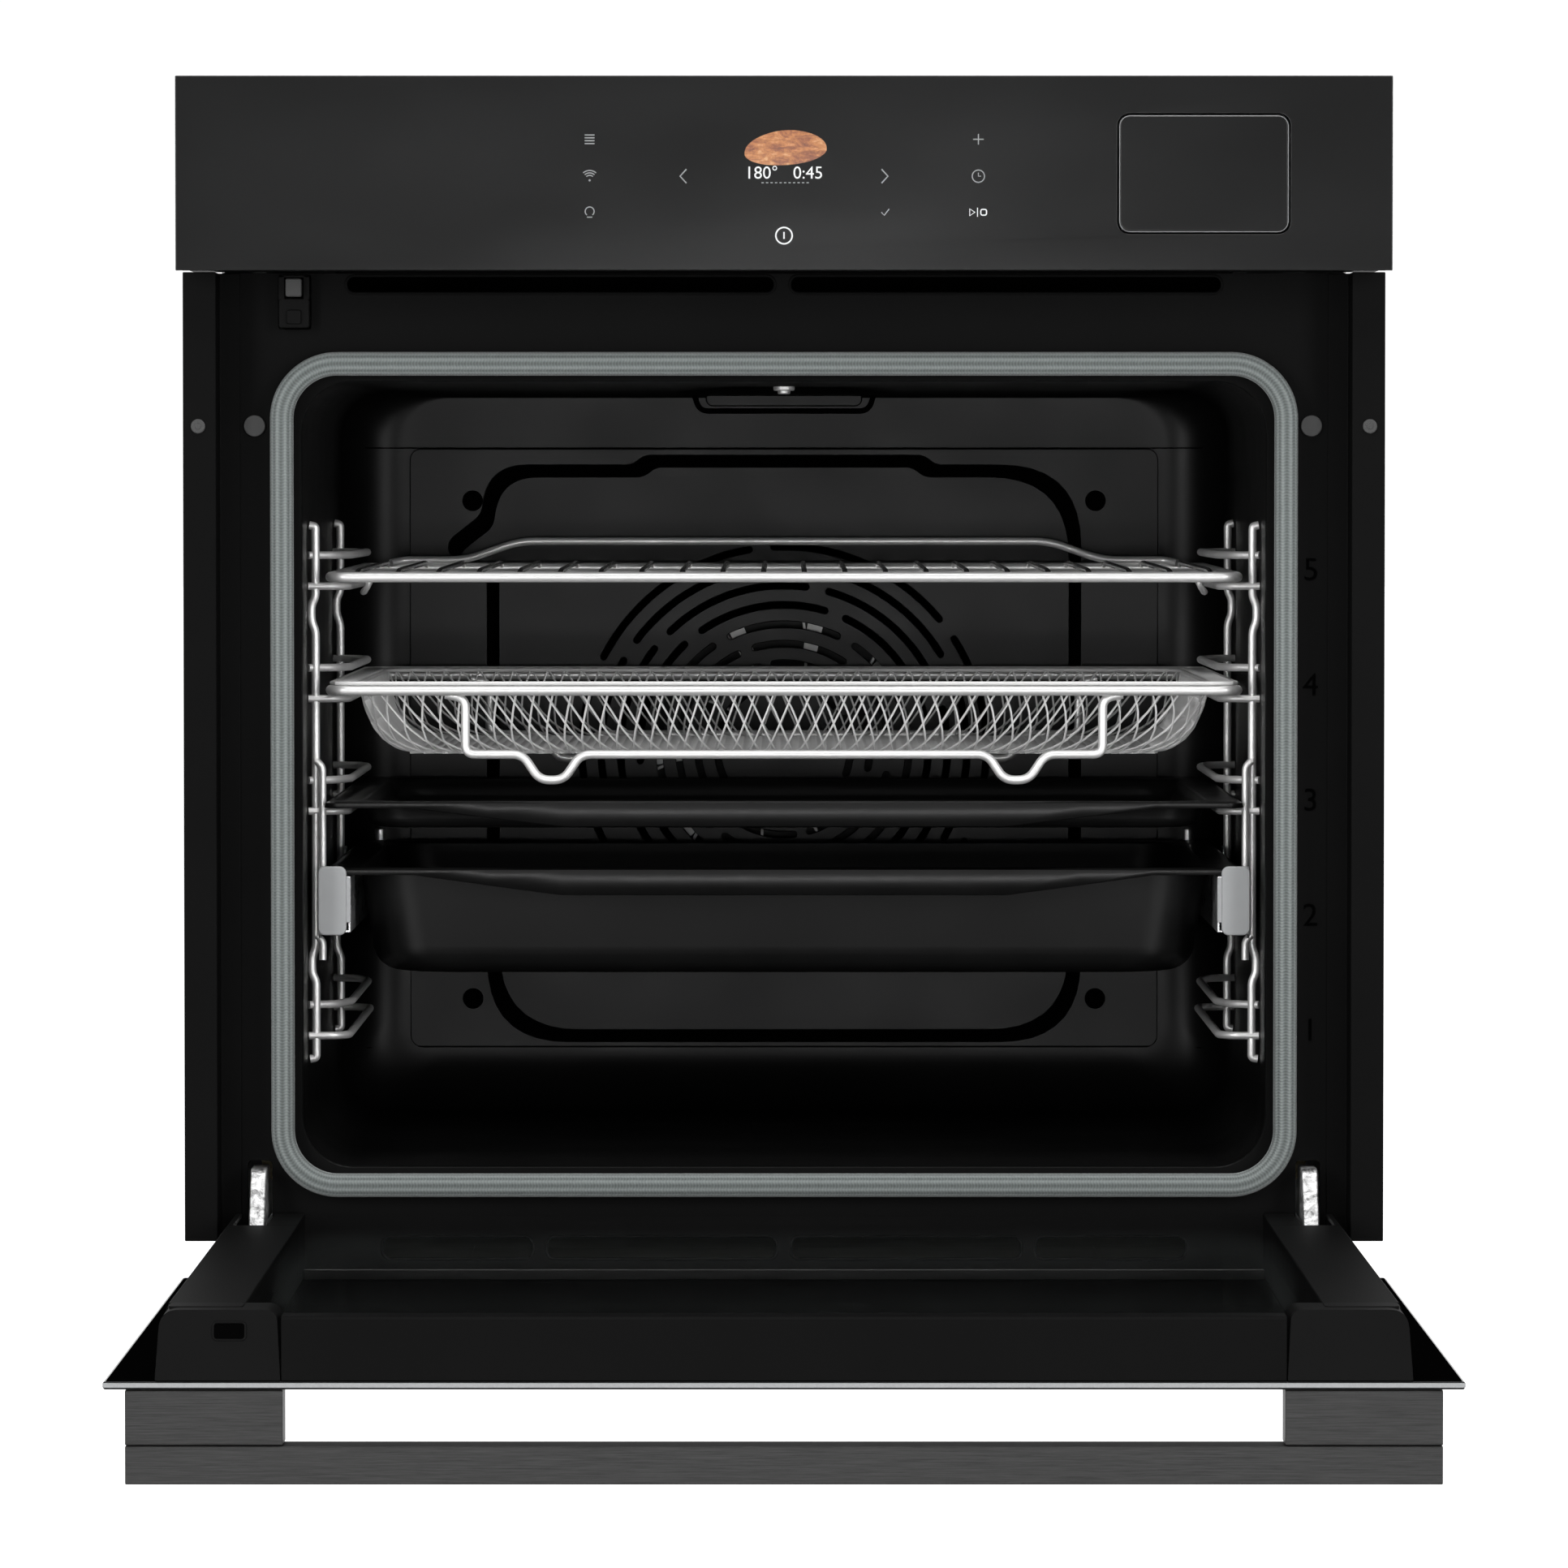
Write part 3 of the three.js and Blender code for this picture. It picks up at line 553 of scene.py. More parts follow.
def enamel(name="black_enamel", level=0.0022, gloss=0.3, shine=0.17):
    """Fired black enamel: a soft gloss with fine orange peel and tiny pale specks."""
    coat = Finish(name, "black_enamel", Specular_IOR_Level=shine)
    where = coat.place()
    peel = coat.noise(where, 2.2, 2.0)
    cloud = coat.noise(where, 45, 3.0)
    specks = coat.node("TexVoronoi", Vector=where, Scale=420.0)
    dot = coat.node("MapRange", Value=specks, From_Min=0.05, From_Max=0.12, To_Min=1.0, To_Max=0.0)
    coat.feed(Base_Color=coat.between(dot * 0.5 + cloud * 0.35, grey(level), grey(level * 2.6)),
              Roughness=gloss + cloud * 0.1 + peel * 0.05, Normal=coat.bumped(peel, 0.12, 0.12))
    return coat


def dark_paint():
    """Satin black paint on pressed sheet, with a fine even grain."""
    paint = Finish("dark_paint", "dark_paint", Specular_IOR_Level=0.04)
    where = paint.place()
    grain = paint.noise(where, 0.9, 2.0)
    cloud = paint.noise(where, 80, 3.0)
    paint.feed(Base_Color=paint.between(cloud, grey(0.0024), grey(0.0042)), Roughness=0.48 + grain * 0.14,
               Normal=paint.bumped(grain, 0.15, 0.06))
    return paint


def bright_steel(name="bright_steel", level=0.84, rough=0.3, metal=0.6):
    """Electropolished wire: a bright satin metal with faint drawing marks and small dull patches."""
    steel = Finish(name, "bright_steel", Metallic=metal)
    where = steel.place()
    dull = steel.noise(where, 14, 3.0)
    marks = steel.noise(where, 0.8, 2.0)
    steel.feed(Base_Color=steel.between(dull, grey(level, -0.003), grey(level * 0.82, -0.006)),
               Roughness=rough + dull * 0.14 + marks * 0.05, Normal=steel.bumped(marks, 0.08, 0.05))
    return steel


def zinc(name="zinc", low=0.42, high=0.62, size=16, rough=0.42):
    """Galvanised sheet: flat crystals, each with its own grey and its own gloss."""
    sheet = Finish(name, "zinc", Metallic=0.9)
    where = sheet.place()
    warp = sheet.noise(where, size, 2.0)
    crystal = sheet.node("TexVoronoi", {"feature": "F1"}, out=1, Vector=where, Scale=1000.0 / size)
    shade = sheet.node("SeparateColor", Color=crystal)
    fine = sheet.noise(where, 1.5, 2.0)
    sheet.feed(Base_Color=sheet.between(shade * 0.7 + warp * 0.3, grey(low, 0.01), grey(high, 0.012)),
               Roughness=rough + shade * 0.16 - warp * 0.08, Normal=sheet.bumped(fine, 0.06, 0.05))
    return sheet


def mottled_zinc():
    """Cast-looking hinge arms, bright and dull in small blotches with scuffs."""
    arm = Finish("mottled_zinc", "zinc", Metallic=0.85)
    where = arm.place()
    blotch = arm.noise(where, 4.5, 4.0, 0.7, 0.6)
    sharp = arm.node("MapRange", Value=blotch, From_Min=0.38, From_Max=0.62)
    arm.feed(Base_Color=arm.between(sharp, grey(0.18), grey(0.82)), Roughness=0.3 + sharp * 0.2,
             Normal=arm.bumped(blotch, 0.5, 0.5))
    return arm


def braid():
    """A woven hose: ribs along it, threads across it, and painted shade, darker grey-green where the weave
    folds under.
    """
    hose = Finish("braid", "braid", Sheen_Weight=0.25)
    along = hose.node("UVMap", {"uv_map": "along"})
    split = hose.node("SeparateXYZ", Vector=along)
    round_it = hose.node("SeparateXYZ", out=1, Vector=along)
    rib = ((round_it * (2 * np.pi * 11)).sine() + 1) * 0.5
    thread = ((split * (2 * np.pi / 1.5) + rib * 2.4).sine() + 1) * 0.5
    fuzz = hose.noise(hose.place(), 1.2, 3.0)
    height = rib * 0.72 + thread * 0.28
    # Painted shade: the colour darkens where the weave's height is low, in its folds, with random fuzz.
    shade = height * 0.75 + fuzz * 0.4
    hose.feed(Base_Color=hose.between(shade, (0.04, 0.047, 0.046), (0.215, 0.24, 0.235)),
              Roughness=0.72 + fuzz * 0.2, Normal=hose.bumped(height, 0.7, 0.5))
    return hose


def hollow_black():
    """Dead-matt black: real black ink, and painted shade in slots, in a slot's mouth and in the duct behind
    the slots. Almost no light comes back, with a trace of dust.
    """
    hollow = Finish("hollow_black", "dark_plastic", Specular_IOR_Level=0.0)
    dust = hollow.noise(hollow.place(), 2, 2.0)
    hollow.feed(Base_Color=hollow.between(dust, grey(0.0008), grey(0.0016)), Roughness=0.8 + dust * 0.1)
    return hollow


def brushed_black():
    """Black-tinted stainless steel brushed along the handle: long streaks of varying gloss."""
    steel = Finish("brushed_black", "black_steel", Metallic=0.85)
    streak = steel.noise(steel.place(x=0.03, y=1.0, z=1.0), 0.7, 5.0, 0.75)
    broad = steel.noise(steel.place(x=0.2), 30, 2.0)
    steel.feed(Base_Color=steel.between(streak, grey(0.004), grey(0.075)),
               Roughness=0.36 + streak * 0.16 + broad * 0.06, Normal=steel.bumped(streak, 0.25, 0.12))
    return steel


def plastic(name, slot, level, tint=0.0, rough=0.45, gloss=0.3):
    """Moulded plastic with a fine spark-eroded grain."""
    moulded = Finish(name, slot, Specular_IOR_Level=gloss)
    where = moulded.place()
    grain = moulded.noise(where, 0.7, 2.0)
    cloud = moulded.noise(where, 30, 2.0)
    moulded.feed(Base_Color=moulded.between(cloud, grey(level * 0.9, tint), grey(level * 1.1, tint)),
                 Roughness=rough + grain * 0.15, Normal=moulded.bumped(grain, 0.12, 0.08))
    return moulded


def aluminium(name="aluminium", level=0.58):
    """Extruded aluminium with faint lines along it."""
    metal = Finish(name, "aluminium", Metallic=1.0)
    lines = metal.noise(metal.place(x=0.04), 1.0, 3.0)
    metal.feed(Base_Color=metal.between(lines, grey(level * 0.85), grey(level * 1.15)),
               Roughness=0.28 + lines * 0.16)
    return metal


def heater_steel():
    """A tubular heater: dull olive steel, darker where it has run hot."""
    tube_steel = Finish("heater_steel", "bright_steel", Metallic=0.8)
    where = tube_steel.place()
    heat = tube_steel.noise(where, 22, 3.0)
    tube_steel.feed(Base_Color=tube_steel.between(heat, (0.06, 0.055, 0.048), (0.17, 0.16, 0.14)),
                    Roughness=0.42 + heat * 0.2)
    return tube_steel


def glass_wool():
    """Pale yellow mineral wool, fibrous and matt."""
    wool = Finish("glass_wool", "wool")
    fibres = wool.noise(wool.place(x=0.3), 3, 5.0, 0.7, 1.5)
    wool.feed(Base_Color=wool.between(fibres, (0.42, 0.36, 0.2), (0.78, 0.72, 0.5)),
              Roughness=0.85 + fibres * 0.1, Normal=wool.bumped(fibres, 0.9, 2.0))
    return wool


def lit(name, colour, strength, low=0.9):
    """A symbol that glows softly through black glass, a little uneven across its face."""
    glow = Finish(name, "black_glass", Emission_Strength=strength, Roughness=0.3)
    flicker = glow.noise(glow.place(), 3, 2.0)
    shaded = glow.between(flicker, tuple(c * low for c in colour), colour)
    glow.feed(Emission_Color=shaded, Base_Color=glow.between(flicker, grey(0.01), grey(0.02)))
    return glow


def bread_crust():
    """The screen's picture of a loaf: a golden crust with darker and paler slanting streaks."""
    crust = Finish("bread_crust", "black_glass", Emission_Strength=1.0, Roughness=0.3)
    where = crust.node("Mapping", Vector=crust.node("TexCoord", out=3), Rotation=(0, 0.6, 0),
                       Scale=(0.35, 1, 1))
    cuts = crust.noise(where, 3.2, 4.0, 0.6, 0.8)
    speckle = crust.noise(crust.place(), 1.3, 4.0, 0.7)
    colour = crust.node("ValToRGB", {"stops": [
        (0.3, (0.09, 0.018, 0.004, 1)), (0.44, (0.3, 0.075, 0.014, 1)), (0.56, (0.56, 0.2, 0.045, 1)),
        (0.72, (0.8, 0.5, 0.24, 1))]}, Fac=cuts * 0.75 + speckle * 0.25)
    crust.feed(Emission_Color=colour, Base_Color=crust.between(speckle, grey(0.01), grey(0.02)))
    return crust


GLASS = black_glass()
EDGE = glass_edge()
PANE = clear_glass()
ENAMEL = enamel()
TRAY_ENAMEL = enamel("tray_enamel", 0.0035, 0.27, 0.3)
# A near-black copy of the enamel: painted shade in the rear cover's groove, at the back of the fan's well
# and along the steam pocket's rim, and the real black of the rear wall's seams and the cover's screw heads.
SHADE_AND_BLACK_ENAMEL = enamel("shade_and_black_enamel", 0.0006, 0.6, 0.0)
PAINT = dark_paint()
WIRE = bright_steel()
SHINY_WIRE = bright_steel("shiny_wire", 0.62, 0.14, 1.0)
FAN_STEEL = bright_steel("fan_steel", 0.5, 0.42, 0.5)
# Near-black steel for the fan's disc, shaft and nut: painted shade behind the blades.
FAN_SHADE_STEEL = bright_steel("fan_shade_steel", 0.025, 0.5, 0.5)
WEAVE = bright_steel("mesh_steel", 0.82, 0.42, 0.3)
ZINC = zinc()
RUNNER_ZINC = zinc("runner_zinc", 0.5, 0.66, 5, 0.3)
ARM_ZINC = mottled_zinc()
BRAID = braid()
HANDLE_STEEL = brushed_black()
INK_AND_SHADE_BLACK = hollow_black()
BLACK_PLASTIC = plastic("black_plastic", "dark_plastic", 0.0042, gloss=0.05)
GREY_PLASTIC = plastic("grey_plastic", "grey_plastic", 0.34, 0.02)
PLUG_GREY = plastic("plug_grey", "dark_plastic", 0.045)
ALUMINIUM = aluminium()
DARK_ALUMINIUM = aluminium("dark_aluminium", 0.035)
HEATER = heater_steel()
WOOL = glass_wool()
SYMBOL_LIGHT = lit("symbol_light", (0.36, 0.37, 0.38), 1.0)
SCREEN_WHITE = lit("screen_white", (0.92, 0.93, 0.94), 1.0)
CRUST = bread_crust()


# ---- Control fascia, its symbols and the water tank


def tank_outline(margin, radius):
    """The tank front's outline, moved out on every side by a margin."""
    return rounded_outline(TANK_LOW[0] - margin, TANK_HIGH[0] + margin, TANK_LOW[2] - margin,
                           TANK_HIGH[2] + margin, radius)


def add_fascia():
    """The fascia glass with its tank opening, and the bare ground edges round it."""
    low, high = FASCIA_LOW, FASCIA_HIGH
    outer = rounded_outline(low[0], high[0], low[2], high[2], 0.8, 4)
    cut_sheet("control_fascia_glass", "chassis", [outer, tank_outline(1.2, 6)[::-1]], low[1],
              high[1] - low[1], GLASS, ["control_fascia"], bevel=0.5)
    rim = 0.9
    strips = [((low[0] - 0.15, low[1] + 0.6, low[2]), (low[0] + rim, high[1] + 0.2, high[2])),
              ((high[0] - rim, low[1] + 0.6, low[2]), (high[0] + 0.15, high[1] + 0.2, high[2])),
              ((low[0], low[1] + 0.6, high[2] - rim), (high[0], high[1] + 0.2, high[2] + 0.15))]
    edges = [slab(a, b, 0.2, 0.1, "y", 2) for a, b in strips]
    piece("fascia_ground_edge", "chassis", together(*edges), EDGE)


def add_tank_front():
    """The tank's push-to-open front: a rounded glass pane with a ground edge behind its face."""
    low, high = TANK_LOW, TANK_HIGH
    piece("tank_front_glass", "water_tank", slab(low, high, 5, 0.7, "y", 10), GLASS, ["tank_front"])
    turn = rounded_outline(low[0] + 0.1, high[0] - 0.1, low[2] + 0.1, high[2] - 0.1, 5, 12)
    piece("tank_front_edge", "water_tank", tube(stand(turn, low[1] + 0.75, "y"), 0.42, (0, 1, 0), 6, True),
          EDGE)


def stroke(points, width, closed=False):
    """A thin line on the glass through points in x and z, as a flat tube just proud of the face."""
    path = stand(np.asarray(points, float), FASCIA_LOW[1] - 0.02, "y")
    points, faces = tube(path, width / 2, (0, 1, 0), 6, closed)
    face = FASCIA_LOW[1] - 0.02
    points[:, 1] = face + (points[:, 1] - face) * 0.15
    return points, faces


def circle(x, z, radius, start=0.0, end=2 * np.pi, steps=28):
    """A circle, or an arc of one, as points in the front's x and z."""
    angle = np.linspace(start, end, steps, endpoint=abs(end - start) < 6.28)
    return np.stack([x + radius * np.cos(angle), z + radius * np.sin(angle)], 1)


def add_symbols():
    """Generic touch symbols: menu, signal, lamp, arrows, confirm, plus, clock, start and stop, and on."""
    x, high, middle, low = 95.0, 564.0, 546.0, 528.4
    menu = [stroke([(-x - 2.4, high + k), (-x + 2.4, high + k)], 0.55) for k in (-2.1, -0.7, 0.7, 2.1)]
    signal = [stroke(circle(-x, middle - 2, r, 0.85, np.pi - 0.85, 12), 0.5) for r in (2.4, 3.6, 4.8)]
    signal.append(stroke(circle(-x, middle - 2, 0.3, steps=8), 0.5, True))
    bulb = [stroke(circle(-x, low + 0.4, 2.2, -0.9, np.pi + 0.9, 18), 0.5),
            stroke([(-x - 1.3, low - 2.4), (-x + 1.3, low - 2.4)], 0.5)]
    arrows = [stroke([(s * 47.7, middle + 3.4), (s * 50.8, middle), (s * 47.7, middle - 3.4)], 0.65)
              for s in (-1, 1)]
    tick = [stroke([(47.6, low), (49, low - 1.5), (51.4, low + 1.6)], 0.5)]
    plus = [stroke([(x - 2.6, high), (x + 2.6, high)], 0.5),
            stroke([(x, high - 2.6), (x, high + 2.6)], 0.5)]
    clock = [stroke(circle(x, middle, 3), 0.5, True),
             stroke([(x, middle + 1.7), (x, middle), (x + 1.3, middle)], 0.45)]
    play = [stroke([(x - 4.2, low - 1.7), (x - 4.2, low + 1.7), (x - 1.7, low)], 0.6, True),
            stroke([(x - 0.4, low - 2.2), (x - 0.4, low + 2.2)], 0.45),
            stroke(rounded_outline(x + 1.2, x + 4, low - 1.4, low + 1.4, 0.8, 4), 0.6, True)]
    power = [stroke(circle(0, 517, 4), 0.75, True), stroke([(0, 515.4), (0, 518.8)], 0.7)]
    groups = {"menu": menu, "signal": signal, "lamp": bulb, "arrow": arrows, "confirm": tick, "plus": plus,
              "clock": clock, "start_stop": play, "power": power}
    for name, strokes in groups.items():
        bright = name in ("power", "start_stop")
        piece(f"{name}_symbol", "chassis", together(*strokes), SCREEN_WHITE if bright else SYMBOL_LIGHT)


def add_screen():
    """The lit screen: a picture of a loaf, two figures for heat and time, and a dotted line under them."""
    face = FASCIA_LOW[1]
    share, angle = np.meshgrid(np.linspace(0.02, 1, 14), np.linspace(0, 2 * np.pi, 56, endpoint=False),
                               indexing="ij")
    squash = np.where(np.sin(angle) < 0, 0.62, 1.15)
    x = 0.8 + 20 * share * np.cos(angle) * (1 + 0.03 * np.sin(3 * angle))
    z = 557.4 + 9.6 * share * np.sin(angle) * squash + 1.2 * share * np.cos(angle)
    front = np.stack([x, np.full_like(x, face - 0.06) + 0.03 * share**4, z], -1)
    back = front[-1:] + [0, 0.2, 0]
    piece("screen_loaf", "chassis", loft(np.concatenate([front, back])), CRUST, ["display_module"])
    lettering("screen_figures", "chassis", "180°   0:45", 8.6, (0, face - 0.04, 547.4), SCREEN_WHITE, 0.03)
    starts = np.array([[x, face - 0.05, 542.8] for x in np.arange(-11, 11.1, 2.2)])
    piece("screen_dots", "chassis", rods(starts, starts + [1.1, 0, 0], 0.28), SYMBOL_LIGHT)


# ---- Front plate, trims, seal, lock and hinge arms


def add_front_plate():
    """The front plate: an opening for the cavity, cooling slots with turned-in rims, and hinge holes."""
    half = SIDE_HIGH[0]
    top = extent("front_frame")[1][2]
    outer = rounded_outline(-half, half, 1.5, top, 1, 3)
    opening = rounded_outline(-CAVITY_HALF, CAVITY_HALF, CAVITY_FLOOR, CAVITY_CEILING, CAVITY_CORNER, 14)
    slots = [(-216.7, -4.4, 489.9, 498.7), (2.8, 216.7, 489.9, 498.7), (-199.6, -124.5, 11, 22.3),
             (-118, -3.4, 11, 22.3), (3.4, 118, 11, 22.3), (124.5, 199.6, 11, 22.3)]
    holes = [rounded_outline(*slot, 4.2, 8) for slot in slots]
    holes += [rounded_outline(-250, -234, 472.2, 499, 1, 3)]
    holes += [rounded_outline(254 * s if s > 0 else -266, 266 if s > 0 else -254, 28, 60, 2, 4)
              for s in (-1, 1)]
    cut_sheet("front_plate", "chassis", [outer, opening[::-1], *[h[::-1] for h in holes]], PLATE_FRONT,
              1.2, PAINT, ["front_frame"], bevel=0.35)
    rims = [tube(stand(rounded_outline(*slot, 4.2, 8), PLATE_FRONT + 0.1, "y"), 0.75, (0, 1, 0), 8, True)
            for slot in slots]
    piece("cooling_slot_rims", "chassis", together(*rims), PAINT)
    for x, z in ((-262, 424.4), (261, 424.4)):
        name = "plate_plug_left" if x < 0 else "plate_plug_right"
        piece(name, "chassis", disc((x, PLATE_FRONT - 1.6, z), 5.3, 1.5), PLUG_GREY)
    for level in range(1, 6):
        lettering(f"level_number_{level}", "chassis", str(level), 16,
                  (261, PLATE_FRONT - 0.15, 67.3 + 57.1 * level),
                  INK_AND_SHADE_BLACK, 0.1)


def add_air_duct():
    """The duct behind the top cooling slots, dead-matt black as painted shade, and the flange that closes
    the gap under the fascia.
    """
    top = FASCIA_LOW[2]
    back, floor, roof, wall = 112.0, 481.0, 503.5, 1.0
    sheets = [((-222, 28, roof - wall), (222, back, roof)), ((-222, 28, floor), (222, back, floor + wall)),
              ((-222, back - wall, floor), (222, back, roof)), ((-222, 28, floor), (-221, back, roof)),
              ((221, 28, floor), (222, back, roof))]
    boxes = [slab(a, b, 0.3, 0.2, "z", 2) for a, b in sheets]
    # The duct is dead-matt black: painted shade seen through the slots.
    piece("cooling_air_duct", "chassis", together(*boxes), INK_AND_SHADE_BLACK)
    flange = slab((-292, FASCIA_HIGH[1] + 0.2, top + 0.3), (292, PLATE_FRONT + 1, top + 1.8),
                  1, 0.3, "z", 3)
    piece("fascia_flange", "chassis", flange, BLACK_PLASTIC)


def add_trims():
    """The side trims: a folded strip from the cabinet's edge back to the front plate, and a screw."""
    outline = np.array([(295.5, -2.6), (295.5, -0.2), (280.4, -0.2), (280.4, 25.7), (269, 25.7),
                        (269, 24.4),
                        (279.2, 24.4), (279.2, -2.6)])
    low, high = extent("trim_right")
    for side, name in ((-1, "left"), (1, "right")):
        piece(f"side_trim_{name}", "chassis", sided(prism(outline, low[2], high[2], "z"), side), PAINT,
              [f"trim_{name}"], bevel=0.5)
        screw = together(disc((288, -3.9, 424), 3.6, 1.4, edge=0.6),
                         disc((288, -4.1, 424), 1.5, 0.6, edge=0.2))
        piece(f"trim_screw_{name}", "chassis", sided(screw, side), PLUG_GREY)


def add_seal():
    """The door seal: a flattened round section carried along a rounded rectangle."""
    inset = SEAL_BAND / 2
    line = rounded_outline(SEAL_LOW[0] + inset, SEAL_HIGH[0] - inset, SEAL_LOW[2] + inset,
                           SEAL_HIGH[2] - inset, SEAL_CORNER - inset, 20, 14)
    path = np.concatenate([line, line[:1]])
    step = np.linalg.norm(np.diff(path, axis=0), axis=1)
    along = np.concatenate([[0], np.cumsum(step)])
    tangent = np.roll(line, -1, 0) - np.roll(line, 1, 0)
    tangent /= np.linalg.norm(tangent, axis=1, keepdims=True)
    out = np.stack([tangent[:, 1], -tangent[:, 0]], 1)
    out = np.concatenate([out, out[:1]])
    turn = np.linspace(0, 2 * np.pi, 33)
    depth = SEAL_HIGH[1] - SEAL_LOW[1]
    across = np.sign(np.cos(turn)) * np.abs(np.cos(turn)) ** 0.8 * inset
    forward = np.sign(np.sin(turn)) * np.abs(np.sin(turn)) ** 0.8 * depth / 2
    xz = path[:, None] + out[:, None] * across[None, :, None]
    y = np.broadcast_to(SEAL_LOW[1] + depth / 2 - forward[None, :], xz.shape[:2])
    points = np.stack([xz[..., 0], y, xz[..., 1]], -1)
    uv = np.stack(np.broadcast_arrays(along[:, None], turn[None, :] / (2 * np.pi)), -1).reshape(-1, 2)
    faces = grid_faces(len(path), len(turn))
    points, faces = outward(points, faces)
    piece("braided_door_seal", "chassis", (points, faces), BRAID, ["door_seal"], uv=uv)


def add_lock():
    """The door lock: a housing with its lip and screws, and the square grey plunger."""
    low, high = extent("lock_housing")
    body = together(slab(low, high - [0, 0, 11.4], 1.5, 0.8, "y"),
                    slab((low[0], low[1], high[2] - 1.3), high, 0.4, 0.3, "y"),
                    slab((low[0], low[1], high[2] - 12), (low[0] + 3, high[1], high[2]), 0.4, 0.3, "y"),
                    slab((high[0] - 3, low[1], high[2] - 12), high, 0.4, 0.3, "y"),
                    slab((low[0] + 4, low[1] - 1.5, low[2] + 2), (high[0] - 4, low[1] + 2, low[2] + 9),
                         1.2, 0.5, "y"))
    piece("lock_body", "chassis", body, BLACK_PLASTIC, ["lock_housing"])
    low, high = extent("lock_plunger")
    piece("lock_button", "lock_plunger", slab(low, high, 1.2, 0.8, "y"), PLUG_GREY, ["lock_plunger"])


def add_hinge_arms():
    """Each hinge arm: a rounded plate from the door's pivot up through the front plate."""
    outline = bent([(-9, 22), (-9, 17), (3, 11.5), (20, 31), (44, 36), (44, 57), (12, 57), (-9, 22)], 4, 5)
    eye = np.linspace(0, 2 * np.pi, 28, endpoint=False)
    ring = np.stack([PIVOT_Y + 7.9 * np.cos(eye), PIVOT_Z + 7.9 * np.sin(eye)], 1)
    for side, name in ((-1, "left"), (1, "right")):
        arm = together(prism(outline[:-1], 256.1, 263.9, "x"), prism(ring, 255.9, 264.1, "x"))
        piece(f"hinge_lever_{name}", "chassis", sided(arm, side), ARM_ZINC, [f"hinge_arm_{name}"],
              bevel=0.6)


# ---- Cavity


def add_cavity():
    """The enamelled cavity: a rounded section carried back, then the fan's well.

    Its sides and floor turn into the rear wall over a wide quarter circle, its ceiling over a tight
    one. The floor dips within a soft-edged rectangle, the ceiling rises where steam enters, and each
    side wall has two pressed ribs.
    """
    sides = 28
    straight = np.linspace(PLATE_FRONT + 1.5, CAVITY_BACK - REAR_FILLET, 34)
    turn = np.linspace(0, np.pi / 2, 12)[1:]
    insets = np.concatenate([np.zeros(len(straight)), REAR_FILLET * (1 - np.cos(turn))])
    depths = np.concatenate([straight, CAVITY_BACK - REAR_FILLET + REAR_FILLET * np.sin(turn)])
    rings = [stand(rounded_outline(-CAVITY_HALF + i, CAVITY_HALF - i, CAVITY_FLOOR + i,
                                   CAVITY_CEILING - i * 0.12,
                                   CAVITY_CORNER, 9, sides), d, "y")
             for i, d in zip(insets, depths)]
    last = rings[-1]
    well = [stand(rounded_outline(-190, 190, 104, 400, 30, 9, sides), d, "y")
            for d in (CAVITY_BACK, CAVITY_BACK + 4, WELL_BACK - 4, WELL_BACK)]
    between = [last + (well[0] - last) * share for share in (0.33, 0.67)]
    centre = np.array([0, WELL_BACK, FAN_HEIGHT])
    floor_of_well = [centre + (well[-1] - centre) * share for share in (0.6, 0.1)]
    rings = np.array([*rings, *between, *well, *floor_of_well])
    x, y, z = rings[..., 0], rings[..., 1], rings[..., 2]
    inside = smooth_step(112 - np.abs(x), 0, 10) * smooth_step(y, 202, 214) * smooth_step(310 - y, 0, 12)
    z = z - 2.0 * inside * (z < CAVITY_FLOOR + 1)
    pocket = smooth_step(50 - np.abs(x), 0, 10) * smooth_step(y, 250, 262)
    z = z + 2.5 * pocket * (z > CAVITY_CEILING - 1)
    wall = np.abs(x) > CAVITY_HALF - 1
    rib = np.exp(-(((z - 90) / 5) ** 2)) + np.exp(-(((z - 400) / 5) ** 2))
    x = np.where(wall, x + np.sign(x) * 1.6 * rib * smooth_step(y, 60, 80) * smooth_step(380 - y, 0, 20), x)
    rings = np.stack([x, y, z], -1)
    faces = grid_faces(len(rings), rings.shape[1], close_columns=True)
    faces.append(list(range((len(rings) - 1) * rings.shape[1], len(rings) * rings.shape[1]))[::-1])
    points, faces = outward(rings, faces)
    inward = [face[::-1] for face in faces]
    liner = piece("cavity_liner", "chassis", (points, inward), ENAMEL, ["cavity_wrap", "cavity_back"])
    wall = liner.modifiers.new("sheet", "SOLIDIFY")
    wall.thickness, wall.offset = 1.2 * MM, -1.0


